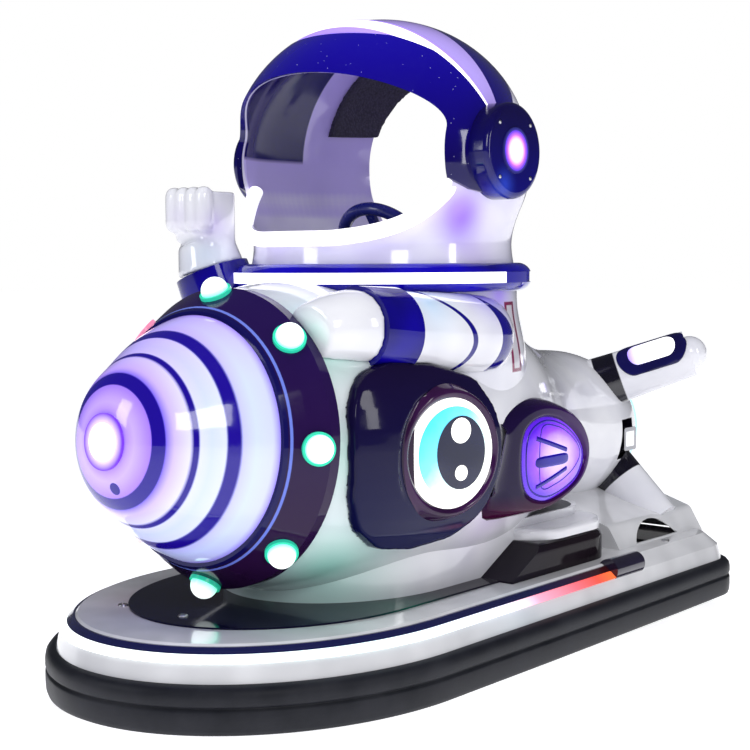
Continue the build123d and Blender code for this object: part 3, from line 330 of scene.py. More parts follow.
rocket_white = white_body("rocket_white", body_glows, lamp_recess_shade)
collar = Finish("collar_enamel", Coat_Weight=0.2, Specular_IOR_Level=0.15)
along = collar.group(ROCKET_PLACE, Position=collar.position)["Along"]
collar.moulded(0.10, 0.10)
# bluer towards the top: painted navy sheen over the plum
plum_with_sheen = collar.mix(collar.rise(collar.axes(collar.position)[2], 0.35, 0.9), PLUM, (0.016, 0.006, 0.075))
paint = collar.mix(collar.band(along, -0.200, -0.098), plum_with_sheen, (0.006, 0.005, 0.085))
paint = collar.mix(collar.band(along, -0.096, -0.090), paint, (0.16, 0.22, 0.75))
collar.set(Base_Color=paint)

dome = Finish("nose_dome_milk", Coat_Weight=0.4, Specular_IOR_Level=0.35)
radius = dome.group(ROCKET_PLACE, Position=dome.position)["Radius"]
dome.moulded(0.12, 0.08)
ice, pale, blue = (0.55, 0.62, 1.0), (0.54, 0.43, 1.0), (0.22, 0.15, 0.95)
line = (0.010, 0.002, 0.24)
radius_scaled = dome.product(radius, 1 / 0.26)
tone = dome.ramp(radius_scaled, [
    (0.20, (0.38, 0.20, 0.95)), (0.30, (0.52, 0.38, 1.0)), (0.424, (0.34, 0.18, 0.98)),
    (0.430, line), (0.512, line), (0.520, blue), (0.56, pale), (0.630, (0.66, 0.64, 1.0)),
    (0.644, line), (0.664, line), (0.672, (0.62, 0.64, 1.0)), (0.72, ice), (0.782, (0.62, 0.66, 1.0)),
    (0.790, line), (0.842, line), (0.852, (0.50, 0.50, 1.0)), (0.90, ice), (0.955, (0.55, 0.58, 1.0)),
    (0.985, (0.24, 0.14, 0.90)),
])
x, y, z = dome.axes(dome.position)
# the top and the far side turn violet: painted shading over the dome's lamp colours
slant = dome.maths("MULTIPLY_ADD", x, 1.2, dome.product(dome.maths("SUBTRACT", z, 0.58), -1.0))
tone = dome.mix(dome.product(dome.rise(slant, 0.12, -0.22), 0.55), tone,
                dome.mix(dome.rise(tone, 0.1, 0.4), line, (0.50, 0.30, 1.0)))
dot_place = (0.020, -0.893, 0.505)
dot = dome.group(SPOT, Position=dome.position, Centre=dot_place, Reach=0.03, Strength=1.0)["Mask"]
tone = dome.mix(dome.rise(dot, 0.30, 0.34), tone, line)
dome.shine(tone, 0.28)

nose_ring = Finish("nose_ring_glow", Roughness=0.2)
radius = nose_ring.group(ROCKET_PLACE, Position=nose_ring.position)["Radius"]
tint = nose_ring.mix(nose_ring.rise(radius, 0.038, 0.056), (0.70, 0.55, 1.0), (0.14, 0.03, 0.62))
nose_ring.shine(tint, 0.6)
nose_core = Finish("nose_lamp_glow", Roughness=0.2)
radius = nose_core.group(ROCKET_PLACE, Position=nose_core.position)["Radius"]
tint = nose_core.mix(nose_core.rise(radius, 0.014, 0.036), (1.0, 1.0, 1.0), (0.55, 0.62, 1.0))
nose_core.shine(tint, 1.6)

ball = Finish("ball_lamp_glow", Roughness=0.15)
along, radius = ball.group(ROCKET_PLACE, Position=ball.position)
lift = ball.maths("MULTIPLY_ADD", ball.maths("SUBTRACT", radius, 0.305), math.cos(math.radians(32)),
                  ball.product(ball.maths("ADD", along, 0.055), -math.sin(math.radians(32))))
far = ball.rise(ball.axes(ball.position)[0], -0.03, -0.10)
edge = ball.mix(far, (0.03, 0.80, 0.48), (1.0, 0.35, 0.42))
core = ball.mix(far, (0.90, 1.0, 0.97), (1.0, 0.93, 0.80))
tint = ball.mix(ball.rise(lift, -0.004, 0.020), edge, core)
ball.shine(tint, 1.15)
cups = Finish("lamp_cup_glow", Roughness=0.25)
far = cups.rise(cups.axes(cups.position)[0], -0.03, -0.10)
tint = cups.mix(far, (0.02, 0.50, 0.33), (0.80, 0.25, 0.40))
cups.shine(tint, 0.5)

housing = Finish("eye_housing_enamel", Coat_Weight=0.16, Specular_IOR_Level=0.10)
housing.moulded(0.10, 0.10)
_, y, z = housing.axes(housing.position)
from_eye = housing.oval(y, z, EYE_CENTRE)
paint = housing.mix(housing.rise(z, 0.40, 0.72), (0.005, 0.006, 0.050), (0.008, 0.004, 0.032))
paint = housing.mix(housing.band(from_eye, 0.0, 0.142, 0.003), paint, (0.022, 0.008, 0.030))
housing.set(Base_Color=paint)

eye_white = lit("eye_white_glow", (1.0, 0.99, 0.93), 0.85)
iris = Finish("eye_iris_glow", Roughness=0.2, Coat_Weight=0.4)
_, y, z = iris.axes(iris.position)
ahead, above = iris.maths("SUBTRACT", y, EYE_CENTRE[0]), iris.maths("SUBTRACT", z, EYE_CENTRE[1])
slant = iris.maths("SUBTRACT", above, ahead)
cloud = iris.noise(iris.position, 26.0, 3.0)
slant = iris.maths("MULTIPLY_ADD", iris.maths("SUBTRACT", cloud, 0.5), 0.05, slant)
tint = iris.ramp(iris.rise(slant, -0.12, 0.13), [
    (0.0, (0.93, 0.96, 0.86)), (0.35, (0.62, 0.88, 0.93)),
    (0.62, (0.16, 0.66, 0.88)), (1.0, (0.03, 0.55, 0.80)),
])
iris.shine(tint, 0.75)
pupil = gloss("eye_pupil_enamel", (0.008, 0.012, 0.055), (0.004, 0.006, 0.03), 0.08, 0.05, 0.6, 0.3)

pod = Finish("pod_rim_enamel", Coat_Weight=0.16, Specular_IOR_Level=0.12)
pod.moulded(0.12, 0.12)
_, y, z = pod.axes(pod.position)
# violet towards the rear of the rim: painted glow of the lens
paint = pod.mix(pod.rise(y, 0.02, 0.30), (0.010, 0.004, 0.036), (0.045, 0.004, 0.11))
paint = pod.mix(pod.rise(z, 0.42, 0.37), paint, (0.05, 0.004, 0.03))
pod.set(Base_Color=paint)
lens = Finish("pod_lens_glow", Roughness=0.2, Coat_Weight=0.4)
_, y, z = lens.axes(lens.position)
reach = lens.oval(y, z, (0.129, 0.490), (0.137, 0.098))
reach = lens.maths("MULTIPLY_ADD", lens.noise(lens.position, 30.0, 3.0), 0.16, reach)
tint = lens.ramp(lens.rise(reach, 0.0, 1.25), [
    (0.0, (0.72, 0.62, 1.0)), (0.36, (0.52, 0.34, 1.0)),
    (0.60, (0.26, 0.06, 0.92)), (0.82, (0.08, 0.01, 0.55)),
])
lens.shine(tint, 0.60)

FIN_ROOT, FIN_SPAN = (0.118, 0.722, 0.606), (0.212, 0.120, 0.086)


def mirrored_x(finish):
    """Position with its side folded onto the left."""
    x, y, z = finish.axes(finish.position)
    joined = finish.add("ShaderNodeCombineXYZ")
    for socket, value in zip(joined.inputs, (finish.maths("ABSOLUTE", x), y, z)):
        finish.feed(socket, value)
    return joined.outputs[0]


def along_fin(finish, root, span):
    """How far out a fin a point lies: 0 at its root, 1 at its tip."""
    offset = finish.vector("SUBTRACT", mirrored_x(finish), root)
    return finish.maths("DIVIDE", finish.vector("DOT_PRODUCT", offset, span), sum(c * c for c in span))


def banded_fin(name, root, span, low, high):
    """White fin with a black band round its root."""
    finish = Finish(name, Coat_Weight=0.6)
    shade = finish.moulded(0.12, 0.06)
    share = along_fin(finish, root, span)
    colour = finish.mix(shade, *WHITE_SHADES)
    finish.set(Base_Color=finish.mix(finish.band(share, low, high, 0.01), colour, (0.005, 0.004, 0.012)))
    return finish


upper_fin = banded_fin("upper_fin_white", FIN_ROOT, FIN_SPAN, 0.02, 0.26)
lower_fin = banded_fin("lower_fin_white", (0.112, 0.770, 0.392), (0.150, 0.016, -0.160), -0.30, 0.34)
fin_frame = gloss("fin_frame_enamel", (0.007, 0.006, 0.10), (0.005, 0.004, 0.05), 0.12, 0.08, 0.4, 0.25)
fin_lamp = Finish("fin_lamp_glow", Roughness=0.2)
tint = fin_lamp.ramp(fin_lamp.rise(along_fin(fin_lamp, FIN_ROOT, FIN_SPAN), 0.38, 0.66), [
    (0.0, (0.25, 0.12, 0.85)), (0.4, (0.72, 0.68, 1.0)), (1.0, (1.0, 1.0, 1.0)),
])
fin_lamp.shine(tint, 0.95)

tail_lamp = Finish("tail_lamp_chrome", Coat_Weight=0.3)
_, y, z = tail_lamp.axes(tail_lamp.position)
off_y = tail_lamp.maths("ABSOLUTE", tail_lamp.maths("SUBTRACT", y, TAIL_LAMP[0]))
off_z = tail_lamp.maths("ABSOLUTE", tail_lamp.maths("SUBTRACT", z, TAIL_LAMP[1]))
square = tail_lamp.maths("MAXIMUM", off_y, off_z)
core_share = tail_lamp.rise(square, 0.021, 0.017)
tail_lamp.moulded(0.22, 0.1)
tail_lamp.set(Base_Color=tail_lamp.mix(core_share, (0.42, 0.42, 0.45), (0.98, 0.99, 1.0)),
              Metallic=tail_lamp.maths("SUBTRACT", 1.0, core_share),
              Emission_Color=tail_lamp.mix(core_share, (0, 0, 0), (0.95, 0.98, 1.0)), Emission_Strength=1.0)
exhaust_rim = lit("exhaust_rim_glow", (0.35, 0.88, 1.0), 0.9)
exhaust_lens = lit("exhaust_lens_glow", (0.80, 0.84, 1.0), 0.55)

# ------------------------------------------------------------------ materials of the base
base = Finish("base_shell_white", Coat_Weight=0.6)
shade = base.moulded(0.13, 0.12)
x, y, z = base.axes(base.position)
colour = base.mix(shade, (0.66, 0.66, 0.68), (0.80, 0.80, 0.82))
# painted light of the lamps on the base: pink and green from the collar balls, lilac and blue patches
# beside them
colour = base.spots(colour, [
    ((-0.12, -0.60, 0.22), 0.24, 0.45, (0.98, 0.50, 0.62)),
    ((0.20, -0.60, 0.22), 0.20, 0.40, (0.40, 0.90, 0.70)),
    ((-0.02, -0.72, 0.20), 0.22, 0.25, (0.70, 0.62, 0.98)),
    ((0.42, -0.10, 0.18), 0.30, 0.22, (0.62, 0.85, 0.98)),
])
edge_x = base.maths("MULTIPLY_ADD", z, -0.603, 0.334 + 0.603 * 0.205)
inside = base.rise(base.maths("SUBTRACT", edge_x, base.maths("ABSOLUTE", x)), 0.0, 0.002)
pocket = base.product(base.band(y, 0.50, 0.9145), base.band(z, 0.150, 0.264))
colour = base.mix(base.product(inside, pocket), colour, (0.006, 0.005, 0.008))
base.set(Base_Color=colour)

strip = Finish("base_strip_glow", Roughness=0.25)
y = strip.axes(strip.position)[1]
tint = strip.ramp(strip.rise(y, -0.95, 0.31), [
    (0.0, (0.96, 1.0, 0.97)), (0.30, (0.80, 0.98, 1.0)),
    (0.64, (0.86, 0.88, 1.0)), (0.74, (0.80, 0.26, 0.36)),
    (0.86, (0.62, 0.11, 0.14)), (0.94, (0.62, 0.06, 0.04)), (1.0, (0.72, 0.12, 0.03)),
])
strip.shine(tint, 1.25)
trim = Finish("base_trim_enamel", Coat_Weight=0.6, Specular_IOR_Level=0.4)
trim.moulded(0.12, 0.08)
y = trim.axes(trim.position)[1]
# dark red towards the rear, beside the red end of the light strip: painted red glow
trim.set(Base_Color=trim.mix(trim.rise(y, 0.0, 0.28), (0.010, 0.012, 0.075), (0.05, 0.006, 0.008)))
deck = Finish("deck_plinth_enamel", Specular_IOR_Level=0.10)
deck.moulded(0.09, 0.10)
rearward = deck.rise(deck.axes(deck.position)[1], -0.60, 0.20)
paint = deck.mix(rearward, (0.006, 0.006, 0.026), (0.012, 0.008, 0.012))
# a painted patch of green light from the collar balls
deck.set(Base_Color=deck.spots(paint, [((0.30, -0.35, 0.22), 0.20, 0.25, (0.05, 0.45, 0.28))]))
rubber = Finish("bumper_rubber", Specular_IOR_Level=0.25)
grain = rubber.noise(rubber.position, 420.0, 3.0)
smear = rubber.noise(rubber.position, 11.0, 4.0)
bump = rubber.add("ShaderNodeBump")
bump.inputs["Strength"].default_value = 0.35
bump.inputs["Distance"].default_value = 0.001
rubber.feed(bump.inputs["Height"], grain)
dusty = rubber.rise(smear, 0.35, 0.75)
rubber.set(Base_Color=rubber.mix(dusty, (0.006, 0.007, 0.012), (0.020, 0.021, 0.028)),
           Roughness=rubber.maths("MULTIPLY_ADD", smear, 0.25, 0.38), Normal=bump.outputs["Normal"])

# ------------------------------------------------------------------ materials of the astronaut
helmet = Finish("helmet_white", Coat_Weight=0.6)
shade = helmet.moulded(0.13, 0.14)
x, y, z = helmet.axes(helmet.position)
forward = helmet.maths("SUBTRACT", HELMET_CENTRE[1], y)
above = helmet.maths("SUBTRACT", z, HELMET_CENTRE[2])
turn = helmet.maths("ARCTAN2", above, forward)
colour = helmet.mix(shade, (0.72, 0.68, 0.90), (0.84, 0.82, 0.96))
# painted violet and lilac light on the cheek and round the face opening
colour = helmet.spots(colour, [
    ((0.322, -0.150, 1.028), 0.105, 1.6, (0.22, 0.05, 0.85)),
    ((0.300, -0.160, 1.055), 0.100, 0.7, (0.45, 0.25, 0.95)),
    ((0.340, -0.100, 0.960), 0.130, 0.45, (0.60, 0.42, 0.98)),
    ((-0.05, -0.350, 0.965), 0.200, 0.35, (0.70, 0.62, 0.98)),
    ((0.20, -0.300, 0.950), 0.160, 0.35, (0.66, 0.60, 0.98)),
])
gap = helmet.vector("SUBTRACT", helmet.position, HELMET_CENTRE)
squashed = helmet.vector("MULTIPLY", gap, (1.0, 1.0, HELMET_HALF[0] / HELMET_HALF[1]))
within = helmet.rise(helmet.vector("LENGTH", squashed), HELMET_HALF[0] - 0.0025, HELMET_HALF[0] - 0.0035)
inner = helmet.product(within, helmet.rise(z, 1.02, 1.06))
# the inner walls get painted lilac shade, deeper towards the top
inner_shade_tint = helmet.mix(helmet.rise(z, 1.0, 1.45), (0.62, 0.55, 0.90), (0.50, 0.40, 0.92))
colour = helmet.mix(inner, colour, inner_shade_tint)
liner = helmet.product(helmet.rise(x, -0.06, -0.10), helmet.rise(y, 0.036, 0.033))
liner = helmet.product(liner, helmet.rise(z, 1.185, 1.195))
lining = helmet.product(inner, liner)
colour = helmet.mix(lining, colour, (0.006, 0.002, 0.110))
crown = helmet.rise(z, HELMET_CENTRE[2] + 0.02, HELMET_CENTRE[2] + 0.025)
outer = helmet.maths("SUBTRACT", 1.0, inner)
# the lilac band round the light hoop is its painted glow; the navy band behind it is the helmet's own
# stripe
for low, high, paint in ((35, 91, (0.50, 0.38, 0.95)), (90, 128, (0.006, 0.001, 0.16))):
    painted = helmet.product(helmet.band(turn, math.radians(low), math.radians(high), 0.01), crown)
    colour = helmet.mix(helmet.product(painted, outer), colour, paint)
helmet.set(Base_Color=colour, Coat_Weight=helmet.maths("MULTIPLY_ADD", lining, -0.6, 0.6))

visor = Finish("visor_enamel", Coat_Weight=0.4, Specular_IOR_Level=0.25)
visor.moulded(0.08, 0.10)
# small white specks: painted reflections of the lamps
reflection_cells = visor.add("ShaderNodeTexVoronoi")
visor.feed(reflection_cells.inputs["Vector"], visor.position)
reflection_cells.inputs["Scale"].default_value = 70.0
reflection_specks = visor.rise(reflection_cells.outputs["Distance"], 0.055, 0.045)
z = visor.axes(visor.position)[2]
# brighter blue towards the top: painted light, with painted shade lower down
paint = visor.mix(visor.rise(z, 1.15, 1.42), (0.004, 0.001, 0.080), (0.006, 0.001, 0.300))
visor.set(Base_Color=visor.mix(reflection_specks, paint, (0.75, 0.75, 1.0)))
helmet_strip = Finish("helmet_strip_glow", Roughness=0.3)
_, y, z = helmet_strip.axes(helmet_strip.position)
turn = helmet_strip.maths("ARCTAN2", helmet_strip.maths("SUBTRACT", z, HELMET_CENTRE[2]),
                          helmet_strip.maths("SUBTRACT", HELMET_CENTRE[1], y))
core = helmet_strip.band(turn, math.radians(58.5), math.radians(68.0), 0.02)
tint = helmet_strip.mix(core, (0.42, 0.30, 0.98), (1.0, 0.96, 1.0))
glow = helmet_strip.mix(core, (0.10, 0.05, 0.30), (1.0, 0.96, 1.0))
helmet_strip.set(Base_Color=tint, Emission_Color=glow, Emission_Strength=1.2)
face_glow = lit("face_tube_glow", (0.98, 0.97, 1.0), 0.95)
ear = Finish("ear_pod_enamel", Coat_Weight=0.4, Specular_IOR_Level=0.25)
ear.moulded(0.12, 0.12)
upward = ear.rise(ear.axes(ear.position)[2], 1.10, 1.26)
paint = ear.mix(upward, (0.003, 0.002, 0.14), (0.004, 0.002, 0.050))
# a painted patch of blue light on the front of the ear pod
ear.set(Base_Color=ear.spots(paint, [((0.37, -0.10, 1.105), 0.055, 0.8, (0.04, 0.10, 0.85))]))
ear_lamp = Finish("ear_lamp_glow", Roughness=0.2)
_, y, z = ear_lamp.axes(ear_lamp.position)
reach = ear_lamp.oval(y, z, EAR_PLACE, (0.049, 0.050))
tint = ear_lamp.ramp(reach, [
    (0.0, (1.0, 0.80, 1.0)), (0.50, (1.0, 0.50, 0.95)),
    (0.66, (0.42, 0.12, 0.98)), (0.80, (0.16, 0.05, 0.85)),
    (0.90, (0.02, 0.02, 0.16)), (1.0, (0.01, 0.01, 0.08)),
])
ear_lamp.shine(tint, 0.9)
belt = gloss("belt_enamel", (0.006, 0.001, 0.46), (0.004, 0.001, 0.20), 0.10, 0.08, 0.3, 0.25)
belt_strip = Finish("belt_strip_glow", Roughness=0.3)
glowing = belt_strip.rise(belt_strip.axes(belt_strip.position)[1], -0.044, -0.047)
belt_strip.set(Base_Color=belt_strip.mix(glowing, (0.005, 0.001, 0.30), (0.98, 0.96, 1.0)),
               Emission_Color=belt_strip.mix(glowing, (0, 0, 0), (0.98, 0.96, 1.0)), Emission_Strength=1.5)

suit = Finish("suit_white", Coat_Weight=0.6)
shade = suit.moulded(0.12, 0.14)
x, y, z = suit.axes(suit.position)
colour = suit.mix(shade, (0.72, 0.72, 0.80), (0.84, 0.84, 0.90))
# painted violet light on the suit from the belt and pods
colour = suit.spots(colour, [
    ((0.25, -0.25, 0.88), 0.16, 0.75, (0.42, 0.30, 0.98)),
    ((0.33, -0.02, 0.87), 0.13, 0.90, (0.30, 0.14, 0.95)),
])
panel = suit.product(suit.band(y, 0.000, 0.058, 0.002), suit.band(z, 0.690, 0.850, 0.002))
colour = suit.mix(panel, colour, (0.22, 0.015, 0.08))
slot_mask = suit.product(suit.band(y, 0.012, 0.046, 0.002), suit.band(z, 0.698, 0.842, 0.002))
suit.set(Base_Color=suit.mix(slot_mask, colour, (0.62, 0.60, 0.66)))

sleeve = Finish("sleeve_white", Coat_Weight=0.6)
shade = sleeve.moulded(0.12, 0.16)
x, y, z = sleeve.axes(sleeve.position)
colour = sleeve.mix(shade, (0.72, 0.72, 0.78), (0.85, 0.85, 0.90))
# painted violet, blue and lilac light on the sleeves
colour = sleeve.spots(colour, [
    ((0.30, -0.10, 0.870), 0.15, 1.20, (0.16, 0.06, 0.95)),
    ((0.33, -0.30, 0.86), 0.13, 0.70, (0.45, 0.72, 1.0)),
    ((-0.30, -0.25, 0.86), 0.14, 0.4, (0.45, 0.35, 0.98)),
])
bow = sleeve.product(sleeve.maths("SUBTRACT", z, 0.765), 1 / 0.085)
bow = sleeve.product(bow, bow)
lag = sleeve.maths("MULTIPLY_ADD", bow, 0.060, y)
thin = sleeve.band(lag, -0.198, -0.182, 0.002)
wide_low = sleeve.maths("MULTIPLY_ADD", bow, 0.035, -0.104)
wide = sleeve.group(BAND, Value=lag, Low=wide_low, High=-0.050, Soft=0.002)["Mask"]
rings = sleeve.maths("MAXIMUM", thin, wide)
sleeve.set(Base_Color=sleeve.mix(rings, colour, (0.004, 0.001, 0.20)))
cuff = gloss("cuff_enamel", (0.005, 0.001, 0.28), (0.003, 0.001, 0.12), 0.11, 0.10, 0.3, 0.22)
# painted blue and violet light on the fists
glove = white_body("glove_white", [
    ((-0.30, -0.33, 0.95), 0.09, 0.55, (0.50, 0.75, 1.0)),
    ((-0.29, -0.33, 1.03), 0.07, 0.60, (0.55, 0.38, 0.95)),
    ((-0.36, -0.35, 1.05), 0.06, 0.35, (0.60, 0.45, 0.95)),
    ((0.15, -0.56, 0.86), 0.14, 0.40, (0.60, 0.72, 1.0)),
])

# ------------------------------------------------------------------ cabin and running gear
leather = Finish("black_leather", Specular_IOR_Level=0.35)
pebble = leather.add("ShaderNodeTexVoronoi")
leather.feed(pebble.inputs["Vector"], leather.position)
pebble.inputs["Scale"].default_value = 190.0
bump = leather.add("ShaderNodeBump")
bump.inputs["Strength"].default_value = 0.7
bump.inputs["Distance"].default_value = 0.0016
leather.feed(bump.inputs["Height"], pebble.outputs["Distance"])
dark = leather.mix(pebble.outputs["Distance"], (0.048, 0.040, 0.080), (0.018, 0.015, 0.032))
leather.set(Base_Color=dark,
            Roughness=leather.maths("MULTIPLY_ADD", leather.noise(leather.position, 40.0), 0.2, 0.42),
            Normal=bump.outputs["Normal"])
steel = Finish("bright_steel", Metallic=1.0)
streak = steel.noise(steel.position, 150.0, 3.0)
steel.set(Base_Color=steel.mix(streak, (0.45, 0.45, 0.47), (0.62, 0.62, 0.64)),
          Roughness=steel.maths("MULTIPLY_ADD", streak, 0.2, 0.22))
black_paint = gloss("black_paint", (0.020, 0.020, 0.024), (0.012, 0.012, 0.015), 0.38, 0.2, 0.0, 0.4)
grey_plastic = gloss("grey_plastic", (0.20, 0.20, 0.25), (0.15, 0.15, 0.19), 0.40, 0.2, 0.0, 0.4)
end_cap = gloss("end_cap_enamel", (0.016, 0.012, 0.035), (0.010, 0.008, 0.02), 0.14, 0.1, 0.6, 0.4)
wheel_blue = gloss("steering_moulding", (0.016, 0.022, 0.24), (0.010, 0.014, 0.12), 0.26, 0.15, 0.2, 0.4)

LOOKS = {
    "bumper_ring": rubber, "base_shell": base, "base_light_strip": strip, "base_trim_strip": trim,
    "strip_end_caps": end_cap, "deck_plinth": deck, "rocket_shell": rocket_white, "nose_dome": dome,
    "collar_ring": collar,
    "nose_lamp_ring": nose_ring, "nose_lamp": nose_core, "collar_lamp_cups": cups, "collar_lamps": ball,
    "eye_housings": housing, "eye_lamps": eye_white, "eye_irises": iris, "eye_pupils": pupil,
    "side_pods": pod, "pod_lenses": lens, "upper_fins": upper_fin, "fin_lamp_frames": fin_frame,
    "fin_lamps": fin_lamp, "lower_fins": lower_fin, "tail_lamps": tail_lamp, "exhaust_ring": exhaust_rim,
    "exhaust_dome": exhaust_lens, "torso_shell": suit, "helmet_shell": helmet, "helmet_visor": visor,
    "ear_pods": ear, "helmet_light_strip": helmet_strip, "ear_lamps": ear_lamp, "belt_ring": belt,
    "belt_light": belt_strip, "face_tube": face_glow, "sleeves": sleeve, "cuffs": cuff, "gloves": glove,
    "seat_box": grey_plastic, "seat_cushion": leather, "head_pads": leather, "battery_pack": black_paint,
    "floor_mat": rubber, "steering_post": black_paint, "dash_console": grey_plastic,
    "steering_wheel": wheel_blue, "steering_shaft": steel, "chassis_frame": black_paint,
    "drive_fork": black_paint, "rear_axle": steel,
}
for stem in ("drive_wheel", "rear_wheel_left", "rear_wheel_right"):
    hub = gloss(stem + "_hub_paint", (0.34, 0.34, 0.36), (0.25, 0.25, 0.27), 0.35, 0.2, 0.1, 0.5)
    LOOKS[stem + "_hub"], LOOKS[stem + "_tyre"] = hub, rubber
for name, finish in LOOKS.items():
    mesh = nodes[name].data
    mesh.materials.clear()
    mesh.materials.append(finish.material)


# ------------------------------------------------------------------ surfaces
def surface(name, points, finish, body="car", closed_u=False, closed_v=False, flip=False, caps=False,
            mirrored=False):
    """A grid of points (rows, columns, 3) as a smooth mesh that rides on a body.

    caps closes the first and last row; mirrored adds the twin at -x.
    """
    rows, columns = points.shape[:2]
    index = np.arange(rows * columns).reshape(rows, columns)
    down = np.roll(index, -1, 0) if closed_u else index[1:]
    here = index if closed_u else index[:-1]
    if closed_v:
        a, b, c, d = here, np.roll(here, -1, 1), np.roll(down, -1, 1), down
    else:
        a, b, c, d = here[:, :-1], here[:, 1:], down[:, 1:], down[:, :-1]
    quads = np.stack([a, b, c, d], -1).reshape(-1, 4)
    if flip:
        quads = quads[:, ::-1]
    faces = [tuple(q) for q in quads.tolist()]
    if caps:
        order = 1 if flip else -1
        faces += [tuple(index[0].tolist()[::order]), tuple(index[-1].tolist()[::-order])]
    places = points.reshape(-1, 3)
    if mirrored:
        faces += [tuple(len(places) + i for i in reversed(face)) for face in faces]
        places = np.concatenate([places, places * (-1, 1, 1)])
    mesh = bpy.data.meshes.new(name)
    mesh.from_pydata(places.tolist(), [], faces)
    mesh.polygons.foreach_set("use_smooth", np.ones(len(mesh.polygons), bool))
    mesh.update()
    obj = bpy.data.objects.new(name, mesh)
    bpy.context.scene.collection.objects.link(obj)
    mesh.materials.append(finish.material)
    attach(obj, body)
    return obj


def tree_of(*pieces):
    """A search tree over the faces of some pieces."""
    verts, faces = [], []
    for piece in pieces:
        mesh = piece.data
        start = len(verts)
        verts += [v.co.copy() for v in mesh.vertices]
        faces += [[start + i for i in p.vertices] for p in mesh.polygons]
    return BVHTree.FromPolygons(verts, faces)


def from_side(tree, flat, lift):
    """Points of (along, height) pairs laid on the left flank, seen from the side, and raised by lift."""
    out = np.zeros((*flat.shape[:2], 3))
    for i in range(flat.shape[0]):
        last = 0.36
        for j in range(flat.shape[1]):
            y, z = flat[i, j]
            hit = tree.ray_cast(Vector((1.0, y, z)), Vector((-1.0, 0, 0)))[0]
            last = hit.x if hit is not None else last
            out[i, j] = (last + lift[i, j], y, z)
    return out


def inlay(name, tree, centre, outline, height, finish, rings=7):
    """A crowned plate on both flanks: rows shrink an outline to its centre, lifted by 1 - r^6."""
    share = np.append(np.linspace(1.0, 0.0, rings + 1)[:-1], 0.002)
    flat = np.asarray(centre) + share[:, None, None] * (np.asarray(outline) - np.asarray(centre))[None]
    lift = np.repeat((height * (1 - share ** 6) - 0.0006)[:, None], len(outline), 1)
    return surface(name, from_side(tree, flat, lift), finish, closed_v=True, flip=True, mirrored=True)


def ribbon(name, tree, path, width, height, finish, closed=False):
    """A thin raised line on both flanks: across it the lift follows 1 - v^2."""
    path = np.asarray(path, float)
    ahead = np.roll(path, -1, 0) - np.roll(path, 1, 0)
    if not closed:
        ahead[0], ahead[-1] = path[1] - path[0], path[-1] - path[-2]
    ahead /= np.linalg.norm(ahead, axis=1)[:, None]
    normal = np.stack([-ahead[:, 1], ahead[:, 0]], 1)
    v = np.linspace(-1, 1, 5)
    flat = path[:, None] + normal[:, None] * (v * width / 2)[None, :, None]
    lift = np.repeat((height * (1 - v ** 2) - 0.0005)[None], len(path), 0)
    surface(name, from_side(tree, flat, lift), finish, closed_u=closed, mirrored=True)


def ring_outline(points, count):
    """A closed smooth outline through points: a Catmull-Rom curve sampled evenly in its parameter."""
    p = np.asarray(points, float)
    t = np.arange(count) * len(p) / count
    k = t.astype(int)
    u = (t - k)[:, None]
    a, b, c, d = (p[(k + o) % len(p)] for o in (-1, 0, 1, 2))
    square, cube = 2 * a - 5 * b + 4 * c - d, 3 * b - a - 3 * c + d
    return 0.5 * (2 * b + (c - a) * u + square * u ** 2 + cube * u ** 3)


def line_points(a, b, count):
    """Even points from a to b."""
    return np.asarray(a) + np.linspace(0, 1, count)[:, None] * (np.asarray(b) - np.asarray(a))


def signed_power(values, power):
    """The power of a value's size with its sign kept: the terms of a superellipse."""
    return np.sign(values) * np.abs(values) ** power


def polar_radius(points, centre, angles):
    """Distance from a centre to a smooth closed outline, at each angle."""
    gap = ring_outline(points, 720) - np.asarray(centre)
    around = np.arctan2(gap[:, 1], gap[:, 0])
    order = np.argsort(around)
    return np.interp(angles, around[order], np.hypot(gap[:, 0], gap[:, 1])[order], period=2 * math.pi)


def on_eye(r_along, r_up, lift):
    """Points on the eye's slanting plane: along it, up it and out of it."""
    along = np.array((math.sin(EYE_YAW), math.cos(EYE_YAW), 0.0))
    up = np.array((0.0, 0.0, 1.0))
    out = np.array((math.cos(EYE_YAW), -math.sin(EYE_YAW), 0.0))
    middle = np.array((EYE_X, *EYE_CENTRE))
    return middle + r_along[..., None] * along + r_up[..., None] * up + lift[..., None] * out


def eye_plate(name, half, shift, lift, finish, node=None):
    """An oval crowned plate on both eyes: rings of an ellipse, lifted by 1 - r^4."""
    r = np.append(np.linspace(1, 0, 9)[:-1], 0.002)[:, None]
    along, up = shift[0] + half[0] * r * cos_turns, shift[1] + half[1] * r * sin_turns
    points = on_eye(along, up, np.broadcast_to(lift + 0.0015 * (1 - r ** 4), along.shape))
    plate = surface(name, points, finish, closed_v=True, flip=True, mirrored=True)
    if node is not None:
        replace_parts(plate, node)


turns = np.linspace(0, 2 * math.pi, 72, endpoint=False)
cos_turns, sin_turns = np.cos(turns), np.sin(turns)
eye_plate("eye_lamp_forms", (EYE_RADIUS, EYE_RADIUS), (0.0, 0.0), 0.000, eye_white, "eye_lamps")
eye_plate("eye_iris_forms", (0.100, 0.099), (0.008, 0.0), 0.002, iris, "eye_irises")
eye_plate("eye_pupil_forms", (0.068, 0.078), (0.025, 0.0), 0.004, pupil, "eye_pupils")
eye_plate("eye_glint_large", (0.028, 0.027), (0.0225, 0.047), 0.006, eye_white)
eye_plate("eye_glint_small", (0.0177, 0.0165), (0.023, -0.043), 0.006, eye_white)

bevel = gloss("eye_bevel_enamel", (0.040, 0.008, 0.060), (0.020, 0.004, 0.030), 0.12, 0.05, 0.3, 0.25)
housing_tree = tree_of(nodes["eye_housings"])
